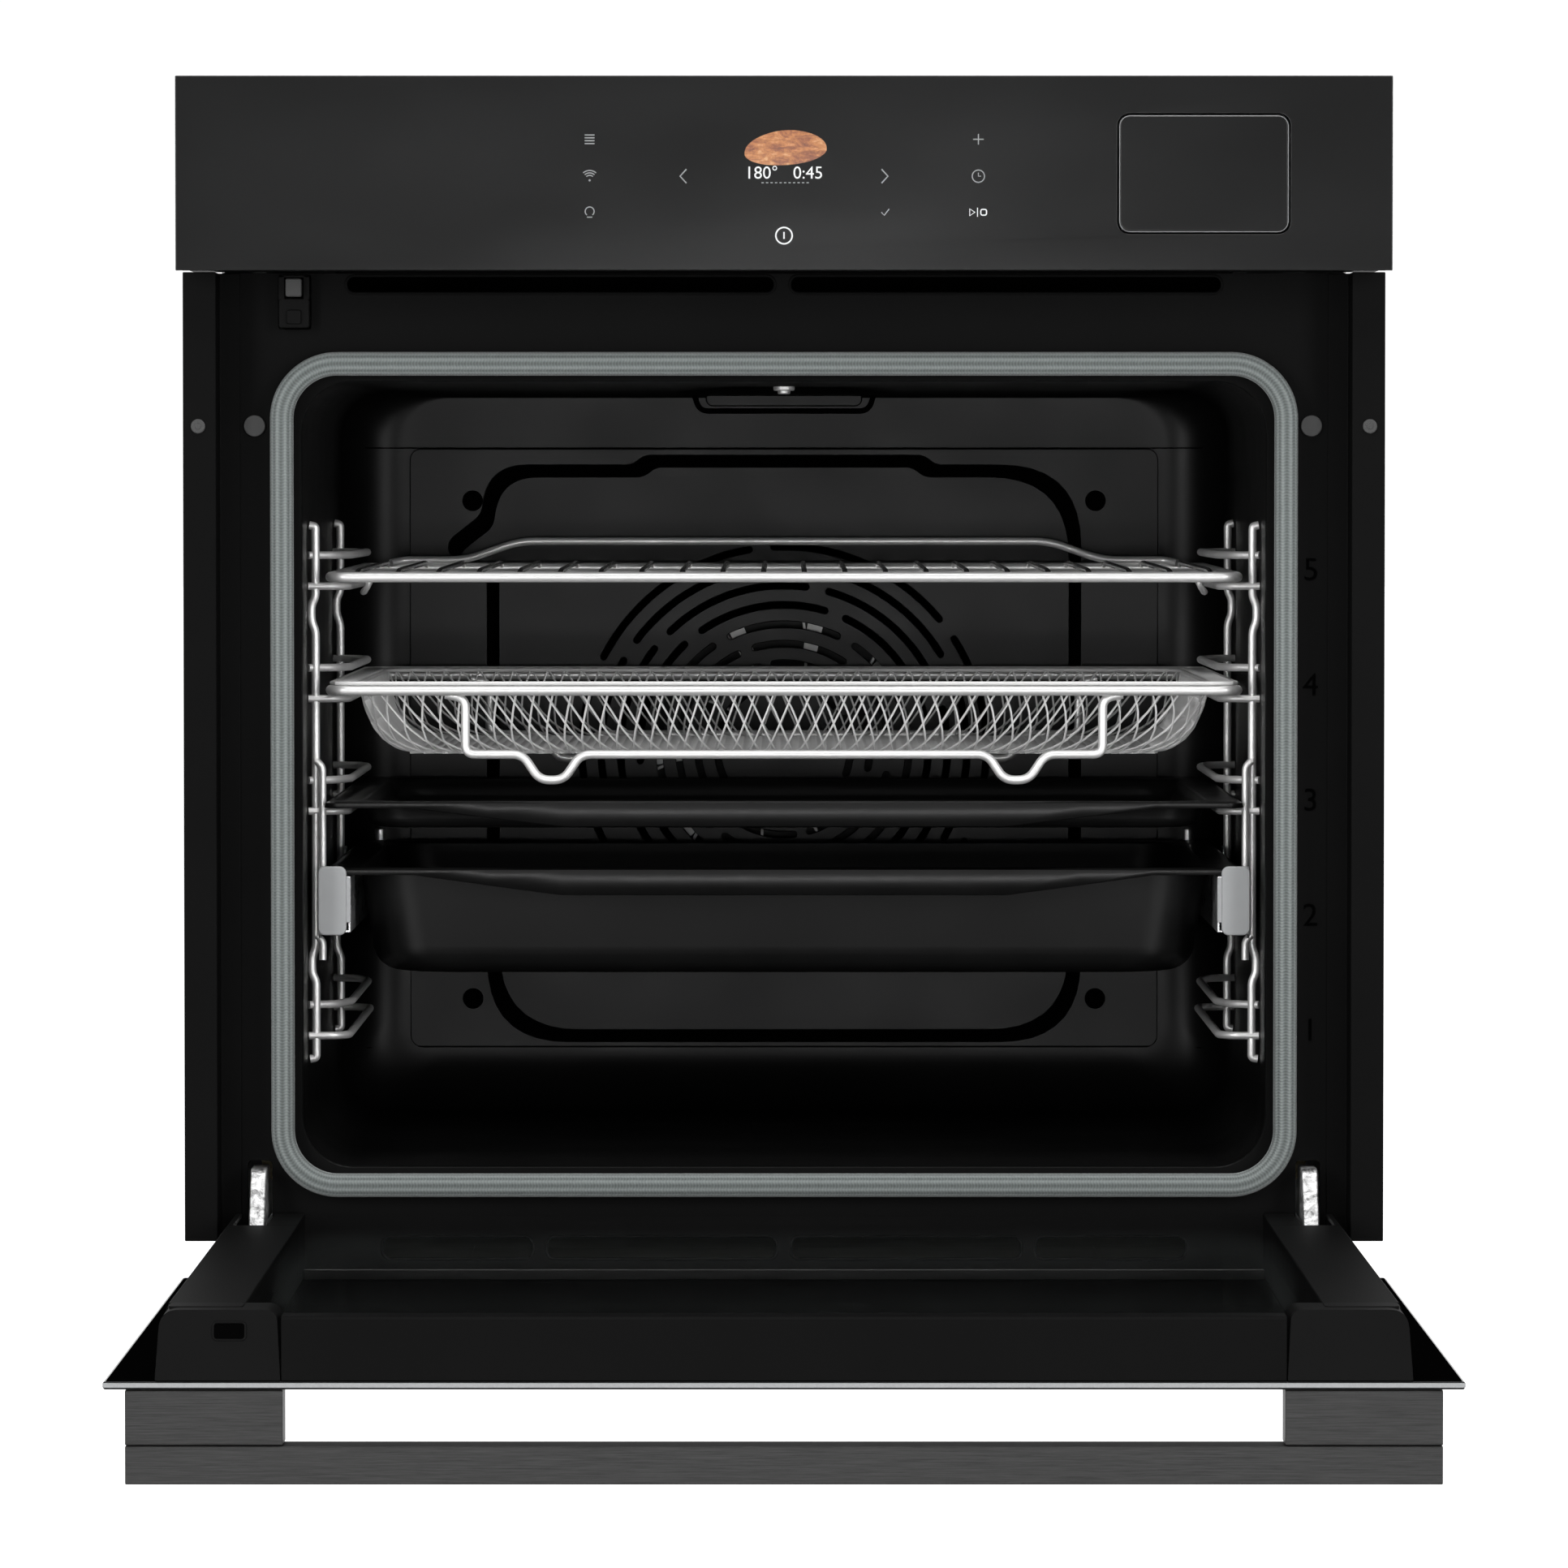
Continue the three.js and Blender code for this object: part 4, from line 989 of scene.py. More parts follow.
def add_steam_nozzle():
    """The steam nozzle in the ceiling, the pressed pocket behind it, and the rear wall's two long seams."""
    nozzle = together(disc((0, 300, CAVITY_CEILING - 1.6), 5.6, 3.2, "z", 0.8),
                      disc((0, 300, CAVITY_CEILING - 3.4), 3.4, 2.4, "z", 0.8))
    piece("steam_nozzle", "chassis", nozzle, WIRE)
    wall = CAVITY_BACK - 0.4
    rim = bent([(-49, CAVITY_CEILING - 1), (-46, 435.5), (46, 435.5), (49, CAVITY_CEILING - 1)], 9, 8)
    piece("steam_pocket_shadow", "chassis", tube(stand(rim, wall, "y"), 1.5, (0, 1, 0), 10), SHADE_AND_BLACK_ENAMEL)
    x = np.linspace(-227, 227, 90)
    start = CAVITY_HALF - REAR_FILLET
    curve = REAR_FILLET - np.sqrt(REAR_FILLET**2 - np.clip(np.abs(x) - start, 0, None) ** 2)
    seams = [tube(np.stack([x, CAVITY_BACK - 0.1 - curve, 0 * x + z], 1), 0.4, sides=6)
             for z in (89.6, 415.4)]
    piece("rear_wall_seams", "chassis", together(*seams), SHADE_AND_BLACK_ENAMEL)
    plate = slab((-42.5, wall - 1.2, 438), (42.5, wall + 0.6, CAVITY_CEILING - 0.5), 4, 0.8, "y")
    piece("steam_pocket_plate", "chassis", plate, ENAMEL)


def slot_end(radius, at, sign):
    """A half circle round an arc slot's end."""
    turn = np.linspace(0, np.pi, 6)[1:-1, None]
    radial = np.array([np.cos(at), np.sin(at)])
    onward = sign * np.array([-np.sin(at), np.cos(at)])
    return radius * radial + SLOT_HALF * (sign * np.cos(turn) * radial + np.sin(turn) * onward)


def grille_slots():
    """Rings of arc slots: every ring has six, and each smaller ring is turned back by the same angle."""
    slots = []
    for ring, radius in enumerate(110 - 10.55 * np.arange(8)):
        for i in range(6):
            start = np.radians(99.9 - 8.8 * ring + 60 * i)
            angle = np.linspace(start, start + np.radians(53 - 0.6 * ring), 16)
            ray = np.stack([np.cos(angle), np.sin(angle)], 1)
            outer, inner = (radius + SLOT_HALF) * ray, (radius - SLOT_HALF) * ray[::-1]
            outline = np.concatenate([outer, slot_end(radius, angle[-1], 1), inner,
                                      slot_end(radius, angle[0], -1)])
            slots.append(outline + [0, FAN_HEIGHT])
    return slots


def pressed_line(grow):
    """The outline of the rear cover's raised middle, with a step up at the top and a notch on the left."""
    corners = [(-73, 408.3), (73, 408.3), (79, 403), (158, 403), (158, 96), (-158, 96), (-158, 350),
               (-179, 354),
               (-179, 362), (-161, 376), (-158, 403), (-79, 403)]
    corners = np.array(corners, float)
    centre = np.array([0, 250])
    away = np.sign(corners - centre)
    return corners + away * grow


def soft_corners(corners, radii):
    """A closed outline whose corners are rounded, each by its own radius, with curves as in bent()."""
    t = np.linspace(0, 1, 10)[:, None]
    outline = []
    for i, radius in enumerate(radii):
        corner, before, after = corners[i], corners[i - 1], corners[(i + 1) % len(corners)]
        back, on = before - corner, after - corner
        reach = min(radius, np.linalg.norm(back) * 0.8, np.linalg.norm(on) * 0.8)
        a = corner + back / np.linalg.norm(back) * reach
        b = corner + on / np.linalg.norm(on) * reach
        outline.append((1 - t) ** 2 * a + 2 * t * (1 - t) * corner + t**2 * b)
    return np.concatenate(outline)


def add_rear_panel():
    """The cover over the fan: an outer sheet, a raised middle with arc slots, and a groove between, whose
    floor is near-black enamel as painted shade.
    """
    low, high = extent("rear_panel")
    radii = [4, 4, 4, 44, 44, 44, 5, 4, 4, 5, 30, 4]
    sheet = rounded_outline(low[0], high[0], low[2], high[2], 6, 6)
    groove_out = soft_corners(pressed_line(3.1), radii)
    groove_in = soft_corners(pressed_line(-3.1), radii)
    front = REAR_PANEL_FRONT
    cut_sheet("rear_cover_rim", "chassis", [sheet, groove_out], front, 1.4, ENAMEL, ["rear_panel"],
              bevel=0.5)
    cut_sheet("rear_cover_middle", "chassis", [groove_in, *grille_slots()], front - 0.6, 1.6, ENAMEL,
              bevel=0.5)
    # The groove's floor: a near-black sheet as painted shade.
    groove_floor = rounded_outline(-184, 184, 92, 413, 6, 6)
    inner_hole = soft_corners(pressed_line(-8), radii)
    cut_sheet("rear_cover_groove", "chassis", [groove_floor, inner_hole], front + 2.2, 1.2, SHADE_AND_BLACK_ENAMEL,
              bevel=0.3)
    # A near-black disc at the back of the fan's well: painted shade.
    piece("fan_well_painted_shade", "chassis", disc((0, WELL_BACK - 2.2, FAN_HEIGHT), 145, 1.6, sides=64),
          SHADE_AND_BLACK_ENAMEL)
    for number, (x, z) in enumerate(((-169, 386.8), (169, 386.8), (-169, 116.3), (169, 116.3)), 1):
        head = together(disc((x, front - 2.2, z), 4.2, 2.0, edge=1.2),
                        disc((x, front - 0.8, z), 5.6, 0.8, edge=0.3))
        piece(f"rear_cover_screw_{number}", "chassis", head, SHADE_AND_BLACK_ENAMEL)


def add_convection_fan():
    """The fan wheel: a disc with a nut on its shaft, in near-black steel as painted shade, and leaning
    blades with folded front edges.
    """
    hub = [disc((0, 467.6, FAN_HEIGHT), 75, 1.8, edge=0.5, sides=64),
           disc((0, 446, FAN_HEIGHT), 4, 50, edge=0.5, sides=20),
           disc((0, 448, FAN_HEIGHT), 8, 7, edge=1, sides=6)]
    parts = []
    along, deep = np.meshgrid(np.linspace(34, 70, 9), np.linspace(0, 1, 6), indexing="ij")
    for blade in range(10):
        lean = np.radians(36 * blade) + 0.0045 * (along - 34)
        y = 467.8 - 25 * deep
        front = np.stack([along * np.cos(lean), y, FAN_HEIGHT + along * np.sin(lean)], -1)
        normal = np.stack([-np.sin(lean), 0 * lean, np.cos(lean)], -1) * 0.7
        ring = [np.concatenate([f + n, (f - n)[::-1]]) for f, n in zip(front, normal)]
        parts.append(loft(ring))
        turned = np.array([(53, -1), (53, 6.5), (71, 9), (71, 0.5)])
        sine, cosine = np.sin(lean[0, 0]), np.cos(lean[0, 0])
        lip = np.stack([turned[:, 0] * cosine - turned[:, 1] * sine,
                        FAN_HEIGHT + turned[:, 0] * sine + turned[:, 1] * cosine], 1)
        parts.append(prism(lip, 442.2, 443.4, "y"))
    piece("fan_disc", "convection_fan", together(*hub), FAN_SHADE_STEEL, ["convection_fan"])
    piece("fan_blades", "convection_fan", together(*parts), FAN_STEEL)
    angle = np.linspace(0, 2 * np.pi, 96, endpoint=False)
    ring = np.stack([HEATER_RADIUS * np.cos(angle), 0 * angle + HEATER_DEPTH,
                     FAN_HEIGHT + HEATER_RADIUS * np.sin(angle)], 1)
    leg_height = FAN_HEIGHT + HEATER_RADIUS - 1
    legs = [tube([(x, HEATER_DEPTH, leg_height), (x, WELL_BACK, leg_height)], 3, (1, 0, 0))
            for x in (-12, 12)]
    piece("ring_heater", "chassis", together(tube(ring, 3.2, (0, 1, 0), 12, True), *legs), HEATER,
          ["ring_element"])


# ---- Side racks and runners


def add_side_racks():
    """Each rack: two uprights with outward kinks and bent ends, and rails with a guide above each."""
    wall = CAVITY_HALF - 1.0
    for side, name in ((-1, "left"), (1, "right")):
        parts = []
        for y in (RACK_FRONT, RACK_BACK):
            line = [(wall, y, 107), (UPRIGHT_X - 0.5, y, 107.5), (UPRIGHT_X - 0.5, y, 146),
                    (UPRIGHT_X + 1.6, y, 150),
                    (UPRIGHT_X + 1.6, y, 158), (UPRIGHT_X - 0.5, y, 163), (UPRIGHT_X - 0.5, y, 322),
                    (UPRIGHT_X + 1.6, y, 327), (UPRIGHT_X + 1.6, y, 335), (UPRIGHT_X - 0.5, y, 339),
                    (UPRIGHT_X - 0.5, y, 374.5), (wall, y, 375)]
            parts.append(tube(bent(line, 3), 2.1, (0, 1, 0), 12))
        for level in (1, 3, 4, 5):
            z = LEVEL_ONE + LEVEL_PITCH * (level - 1)
            for front, back, height in ((RACK_FRONT + 2, RACK_BACK - 2, z),
                                        (RACK_FRONT + 24, RACK_BACK - 24, z + GUIDE_RISE)):
                line = [(UPRIGHT_X + 3.2, RACK_FRONT - 1, height),
                        (RAIL_X + 6, RACK_FRONT + (front - RACK_FRONT) * 0.3, height),
                        (RAIL_X, front + 6, height), (RAIL_X, back - 6, height),
                        (RAIL_X + 6, RACK_BACK + (back - RACK_BACK) * 0.3, height),
                        (UPRIGHT_X + 3.2, RACK_BACK + 1, height)]
                parts.append(tube(bent(line, 5), 2, (0, 0, 1), 10))
        for low, high in ((203.5, 257), (157, 169.5)):
            hook = [(231.4, RACK_FRONT - 4, low), (231.4, RACK_FRONT - 4, high - 3),
                    (234.5, RACK_FRONT - 4, high)]
            parts.append(tube(bent(hook, 3), 1.8, (0, 1, 0), 10))
        piece(f"wire_rack_{name}", "chassis", sided(together(*parts), side), WIRE, [f"side_rack_{name}"],
              wire=True)


def channel(open_x, closed_x, y0, y1):
    """The right runner's C section with rounded bends, open towards open_x, carried along y."""
    bottom, top, wall = RUNNER_BOTTOM, RUNNER_TOP, 1.3
    inner = wall if closed_x > open_x else -wall
    outline = [(open_x, bottom), (closed_x, bottom), (closed_x, top), (open_x, top), (open_x, top - wall),
               (closed_x - inner, top - wall), (closed_x - inner, bottom + wall), (open_x, bottom + wall)]
    return prism(outline, y0, y1, "y")


def add_runners():
    """Telescopic runners: a fixed channel clipped to the rack, a bar with ball races, a moving channel."""
    for side, name in ((-1, "left"), (1, "right")):
        clips = [slab((232, y - 9, 168), (233.2, y + 9, 204), 3, 0.3, "x") for y in (80, 318)]
        piece(f"fixed_runner_{name}", "chassis",
              sided(together(channel(226, 232.4, 56, 398), *clips), side),
              RUNNER_ZINC, [f"outer_runner_{name}"], bevel=0.3)
        bar = slab((218.2, 56, 174), (230.3, 398, 198), 1.5, 0.5, "y")
        balls = [disc((224.2, y, z), 2.2, 4.4, "y", 2.1, 10) for z in (172.9 + 2.4, 199.1 - 2.4)
                 for y in np.arange(66, 390, 9.0)]
        piece(f"middle_runner_{name}", "mid_runners", sided(together(bar, *balls), side), RUNNER_ZINC,
              [f"mid_runner_{name}"])
        cap = slab((218.2, 48.6, 170.7), (232.4, 52, 205.1), 3.6, 0.8, "y", 10)
        lip = slab((216.1, 49.4, 177), (218.8, 52, 199.5), 0.9, 0.4, "y", 4)
        pin = disc((218, 400, 199), 3, 11.4, "z", 1.2, 24)
        piece(f"moving_runner_{name}", "deep_tray",
              sided(together(channel(224.6, 216.2, 52, 400), pin), side),
              RUNNER_ZINC, [f"inner_runner_{name}"], bevel=0.3)
        piece(f"runner_end_cap_{name}", "deep_tray", sided(together(cap, lip), side), GREY_PLASTIC)


# ---- Shelf, basket and trays


def frame_loop(half, y0, y1, z, radius, rise=0.0):
    """A closed rectangular wire with rounded corners, a little higher at the back by rise."""
    outline = rounded_outline(-half, half, y0, y1, 9, 8)
    height = z + rise * (outline[:, 1] - y0) / (y1 - y0)
    return tube(stand(outline, height, "z"), radius, (0, 0, 1), 12, True)


def add_wire_shelf():
    """The shelf: a frame, wires from front to back, a stop at each side, and the raised rear guard."""
    half, z = SHELF_HIGH[0] - WIRE_HALF, SHELF_HEIGHT
    front, back = SHELF_LOW[1] + WIRE_HALF, SHELF_HIGH[1] - WIRE_HALF
    parts = [frame_loop(half, front, back, z, WIRE_HALF, 1.5)]
    x = (np.arange(CROSS_WIRES) - (CROSS_WIRES - 1) / 2)[:, None] * CROSS_PITCH
    y = np.array([front + 0.6, front + 14, front + 30, back - 30, back - 14, back - 0.6])
    height = z + np.array([0.6, 2.4, 3.1, 4.2, 4.0, 2.4])
    cross = np.stack(np.broadcast_arrays(x, y, height), -1)
    piece("shelf_cross_wires", "wire_shelf", strands(cross, 1.4, 8), SHINY_WIRE, wire=True)
    parts.append(rods([[-half, (front + back) / 2, z]], [[half, (front + back) / 2, z]], 2.2, 10))
    guard = [(-212, back - 6, z + 4), (-205, back - 1, z + 5.5), (-172, back - 1, z + 5.5),
             (-143, back - 1, GUARD_HEIGHT), (143, back - 1, GUARD_HEIGHT), (172, back - 1, z + 5.5),
             (205, back - 1, z + 5.5), (212, back - 6, z + 4)]
    parts.append(tube(bent(guard, 9, 8), 2.1, (0, 1, 0), 12))
    for s in (-1, 1):
        hook = [(s * 209, 92, z + 2), (s * 209, 92, z - 5), (s * 212, 96, z - 8), (s * 212, 112, z - 8),
                (s * 209, 118, z - 2)]
        parts.append(tube(bent(hook, 4), 1.6, (1, 0, 0), 8))
    piece("shelf_wires", "wire_shelf", together(*parts), WIRE, ["wire_shelf"], wire=True)


def add_basket_frame():
    """The basket's frame and its two bent support wires, each with two feet."""
    half, z = BASKET_HIGH[0] - WIRE_HALF, BASKET_HEIGHT
    front, back = BASKET_LOW[1] + WIRE_HALF, BASKET_HIGH[1] - WIRE_HALF
    parts = [frame_loop(half, front, back, z, WIRE_HALF)]
    foot = [(-14.5, STAND_HEIGHT), (-6, FOOT_HEIGHT), (6, FOOT_HEIGHT), (14.5, STAND_HEIGHT)]
    feet = [(x + reach, height) for x in (-116, 116) for reach, height in foot]
    line = [(-169, z - 2), (-159, z - 4), (-159, STAND_HEIGHT), *feet, (159, STAND_HEIGHT), (159, z - 4),
            (169, z - 2)]
    for y in (front + 4.4, back - 4.4):
        path = stand(bent(line, 5, 7), y, "y")
        parts.append(tube(path, 2.25, (0, 1, 0), 12))
    piece("basket_wires", "basket", together(*parts), WIRE, ["basket_frame"], wire=True)


def basket_surface(share, along):
    """The basket's shape: share runs from the flange's edge over the rim and down to the bottom's edge.

    At each share the section is a rounded rectangle, and along runs once round it.
    """
    run = np.array([0, 0.16, 0.2, 0.26, 0.45, 0.62, 0.75, 0.87, 1.0])
    inset = np.interp(share, run, [0, 11, 12.2, 13, 15.5, 19.5, 24.5, 31.5, 40])
    half_x, half_y = 226 - inset, 178.5 - inset
    z = np.interp(share, run, [296.4, 296.4, 295.6, 293, 283, 273.5, 267, 262.2, 260.5])
    radius = np.interp(share, run, [10, 20, 21, 21, 22, 22, 22, 22, 20])
    straight_x, straight_y = half_x - radius, half_y - radius
    quarter = np.pi / 2 * radius
    total = 4 * (straight_x + straight_y) + 4 * quarter
    s = (along % 1) * total
    x, y = np.zeros_like(s), np.zeros_like(s)
    edges = [2 * straight_x, quarter, 2 * straight_y, quarter, 2 * straight_x, quarter, 2 * straight_y,
             quarter]
    starts = np.cumsum([0 * total, *edges], axis=0)
    centres = [(1, -1), (1, 1), (-1, 1), (-1, -1)]
    for k in range(4):
        cx, cy = centres[k]
        t = s - starts[2 * k]
        direction = np.array([(1, 0), (0, 1), (-1, 0), (0, -1)][k])
        out = np.array([(0, -1), (1, 0), (0, 1), (-1, 0)][k])
        sx = -straight_x * direction[0] + out[0] * half_x
        sy = -straight_y * direction[1] + out[1] * half_y
        on_side = (t >= 0) & (t <= edges[2 * k])
        x = np.where(on_side, sx + direction[0] * t, x)
        y = np.where(on_side, sy + direction[1] * t, y)
        t = s - starts[2 * k + 1]
        base = np.arctan2(out[1], out[0])
        angle = base + t / radius
        on_arc = (t >= 0) & (t <= quarter)
        x = np.where(on_arc, cx * straight_x + radius * np.cos(angle), x)
        y = np.where(on_arc, cy * straight_y + radius * np.sin(angle), y)
    return np.stack([x, y + BASKET_MIDDLE, z], -1)


def add_basket_mesh():
    """The woven basket: two families of slanting wires round its wall, and a diamond mesh for a bottom."""
    share = np.linspace(0, 1, 20)
    families = []
    for slant in (-1, 1):
        start = np.arange(WEAVE_WIRES)[:, None] / WEAVE_WIRES
        along = start + slant * 2.6 / WEAVE_WIRES * share[None, :]
        families.append(basket_surface(np.broadcast_to(share, along.shape), along))
    parts = [strands(np.concatenate(families), 0.55)]
    half_x, half_y, z = 188.0, 140.5, 260.6
    for slant in (-1, 1):
        offsets = np.arange(-half_x - half_y, half_x + half_y, MESH_PITCH)
        low = np.maximum(-half_y, (-half_x - offsets) * slant if slant > 0 else offsets - half_x)
        high = np.minimum(half_y, half_x - offsets if slant > 0 else offsets + half_x)
        keep = high - low > 12
        a, b, offsets = low[keep], high[keep], offsets[keep]
        start = np.stack([offsets + slant * a, a + BASKET_MIDDLE, 0 * a + z], 1)
        end = np.stack([offsets + slant * b, b + BASKET_MIDDLE, 0 * b + z], 1)
        parts.append(rods(start, end, 0.55, 5))
    edge = np.linspace(0, 1, 200, endpoint=False)
    for at in (0.0, 0.2):
        parts.append(tube(basket_surface(np.full_like(edge, at), edge), 1.0, (0, 0, 1), 8, True))
    piece("basket_weave", "basket", together(*parts), WEAVE, ["basket_mesh"], wire=True)


def add_tray(name, body, rim_top, lip, top_half, foot_half, bottom, plan_corner, y0, y1, stands_for):
    """An enamelled tray: a rim, a flange, a leaning wall that turns into the bottom, and dipped lips."""
    middle, half_y = (y0 + y1) / 2, (y1 - y0) / 2
    depth = rim_top - bottom
    turn = np.linspace(0, np.pi / 2, 7)
    foot = min(14.0, depth * 0.55)
    lean = top_half - foot_half
    inner_z = np.concatenate([[rim_top], [rim_top - 0.6], bottom + foot * (1 - np.sin(turn)),
                              [bottom, bottom]])
    inner_in = np.concatenate([[0], [0.8], lean * 0.75 + foot * (1 - np.cos(turn)), [foot + 30, foot + 90]])
    rings, heights = [], []
    for half, in_y, corner, drop in ((TRAY_HALF, 0, 7, 2.4), (228.1, 0.3, 7, 0.5), (227, 1.2, 7, 0),
                                     (225, 3, 8, 0.3)):
        rings.append(rounded_outline(-half, half, y0 + in_y, y1 - in_y, corner, 8, 12))
        heights.append(rim_top - drop)
    side_y = half_y - 14
    for z, inset in zip(inner_z, inner_in):
        rings.append(rounded_outline(-top_half + inset, top_half - inset, middle - side_y + inset,
                                     middle + side_y - inset,
                                     plan_corner, 8, 12))
        heights.append(z - 0.2)
    outer = np.array([stand(r, h, "z") for r, h in zip(rings, heights)])
    count = len(outer)
    lip_drop = rim_top - 2.4 - lip
    share = 1 - smooth_step(np.abs(outer[0, :, 0]), 128, 168)
    front_or_back = np.abs(outer[0, :, 1] - middle) > half_y - 1.5
    outer[0, :, 2] -= lip_drop * share * front_or_back
    inward = np.sign(middle - outer[0, :, 1]) * share * front_or_back
    outer[1:3, :, 1] += 3.2 * inward
    around = outer.shape[1]
    faces = grid_faces(count, around, close_columns=True)
    faces.append(list(range((count - 1) * around, count * around))[::-1])
    points, faces = outward(outer, faces)
    made = piece(name, body, (points, faces), TRAY_ENAMEL, stands_for)
    wall = made.modifiers.new("sheet", "SOLIDIFY")
    wall.thickness, wall.offset = 1.0 * MM, -1.0
    return made


def add_trays():
    """The deep roasting tray and the shallow baking tray."""
    add_tray("baking_tray", "shallow_tray", 236.5, 225.0, 213, 209, 223.8, 22, 49, 409, ["shallow_tray"])
    add_tray("roasting_tray", "deep_tray", 203.0, 190.6, 214, 205, 150.4, 30, 53, 396, ["deep_tray"])


# ---- Door


def add_door_glass():
    """The door's three panes: the black outer one with its ground edge, and two clear ones above it."""
    low, high = GLASS_LOW, GLASS_HIGH
    piece("door_outer_pane", "door", slab(low, high, 1.2, 0.7, "z", 5), GLASS, ["outer_glass"])
    ink = slab((low[0] + 1, low[1] + 0.8, high[2] - 0.2), (high[0] - 1, high[1] - 0.8, high[2] + 0.15),
               1, 0.1, "z", 4)
    piece("door_pane_print", "door", ink, INK_AND_SHADE_BLACK)
    edge = [((low[0] - 0.1, low[1] - 0.25, 0.9), (high[0] + 0.1, low[1] + 0.6, 2.9)),
            ((low[0] - 0.25, low[1], 0.9), (low[0] + 0.6, high[1], 2.9)),
            ((high[0] - 0.6, low[1], 0.9), (high[0] + 0.25, high[1], 2.9))]
    strips = [slab(a, b, 0.3, 0.15, "z", 3) for a, b in edge]
    piece("door_pane_edge", "door", together(*strips), EDGE)
    for name, node in (("door_middle_pane", "middle_glass"), ("door_inner_pane", "inner_glass")):
        low, high = extent(node)
        piece(name, "door", slab(low, high, 2, 0.6, "z", 5), PANE, [node])
    low, high = extent("bottom_rail")
    rail = [(low[1], low[2]), (high[1], low[2]), (high[1], low[2] + 1.4), (low[1] + 3, low[2] + 1.6),
            (low[1] + 1.2, high[2]), (low[1], high[2])]
    piece("door_heel_rail", "door", prism(rail, low[0], high[0], "x"), DARK_ALUMINIUM, ["bottom_rail"],
          bevel=0.4)


def add_door_profiles():
    """The side profiles with the hinge slot in their inner face, the end caps and the top profile."""
    for side, name in ((-1, "left"), (1, "right")):
        low, high = extent("side_profile_right")
        wall, floor = 2.0, low[2]
        outline = np.array([(low[0], floor), (high[0], floor), (high[0], floor + 20), (high[0] - 4, high[2]),
                            (low[0], high[2])])
        shell = np.array([(low[0], floor), (high[0], floor), (high[0], floor + 20), (high[0] - 4, high[2]),
                          (268, high[2]), (268, high[2] - wall), (high[0] - 5.5, high[2] - wall),
                          (high[0] - wall, floor + 19), (high[0] - wall, floor + wall),
                          (low[0] + wall, floor + wall),
                          (low[0] + wall, high[2] - wall), (252, high[2] - wall), (252, high[2]),
                          (low[0], high[2])])
        long_part = prism(outline, low[1], HINGE_SLOT_START, "y")
        heel = prism(shell, HINGE_SLOT_START + 0.05, high[1], "y")
        piece(f"door_side_{name}", "door", sided(together(long_part, heel), side), PAINT,
              [f"side_profile_{name}"],
              bevel=0.5)
        low, high = extent("corner_cap_right")
        corners = np.array([(low[0], low[2]), (high[0], low[2]), (high[0] - 2.5, high[2]),
                            (low[0] + 1.5, high[2])])
        face = soft_corners(corners, [0.6, 0.6, 8, 5])
        piece(f"door_cap_{name}", "door", sided(prism(face, low[1], high[1], "y"), side), BLACK_PLASTIC,
              [f"corner_cap_{name}"], bevel=0.8)
        tab = slab((237, -470, DOOR_INNER_FACE - 1), (270, -452, DOOR_INNER_FACE + 0.4), 3, 0.4, "z", 5)
        piece(f"door_cap_tab_{name}", "door", sided(tab, side), BLACK_PLASTIC)
    low, high = extent("top_profile")
    rail = [(low[1], low[2]), (high[1], low[2]), (high[1], low[2] + 2), (low[1] + 3, low[2] + 2.2),
            (low[1] + 3, high[2] - 3),
            (high[1] - 8, high[2] - 3), (high[1] - 8, high[2]), (low[1] + 1.5, high[2]),
            (low[1], high[2] - 1.5)]
    piece("door_top_rail", "door", prism(rail, low[0], high[0], "x"), PAINT, ["top_profile"], bevel=0.4)
    # The strike slot's mouth: a dead-matt black plate as painted shade inside the slot.
    mouth = slab((-249, GLASS_LOW[1] - 0.15, 22.2), (-235.6, GLASS_LOW[1] + 1.2, 29.2), 1.6, 0.3, "y", 6)
    lip = tube(stand(rounded_outline(-249.4, -235.2, 21.8, 29.6, 1.8, 6), GLASS_LOW[1] - 0.1, "y"), 0.55,
               (0, 1, 0), 8, True)
    piece("strike_slot_mouth", "door", mouth, INK_AND_SHADE_BLACK)
    piece("strike_slot_rim", "door", lip, BLACK_PLASTIC)


def add_handle():
    """The bar handle: a brushed bar and two wide posts, with a fine seam where they meet."""
    piece("handle_rail", "door", slab(HANDLE_LOW, HANDLE_HIGH, 0.9, 0.5, "x", 5), HANDLE_STEEL,
          ["handle_bar"])
    for side, name in ((-1, "left"), (1, "right")):
        low, high = extent("handle_post_right")
        post = slab(low, high, 0.9, 0.5, "x", 5)
        piece(f"handle_foot_{name}", "door", sided(post, side), HANDLE_STEEL, [f"handle_post_{name}"])


# ---- Casing, seen from the sides, the back and above


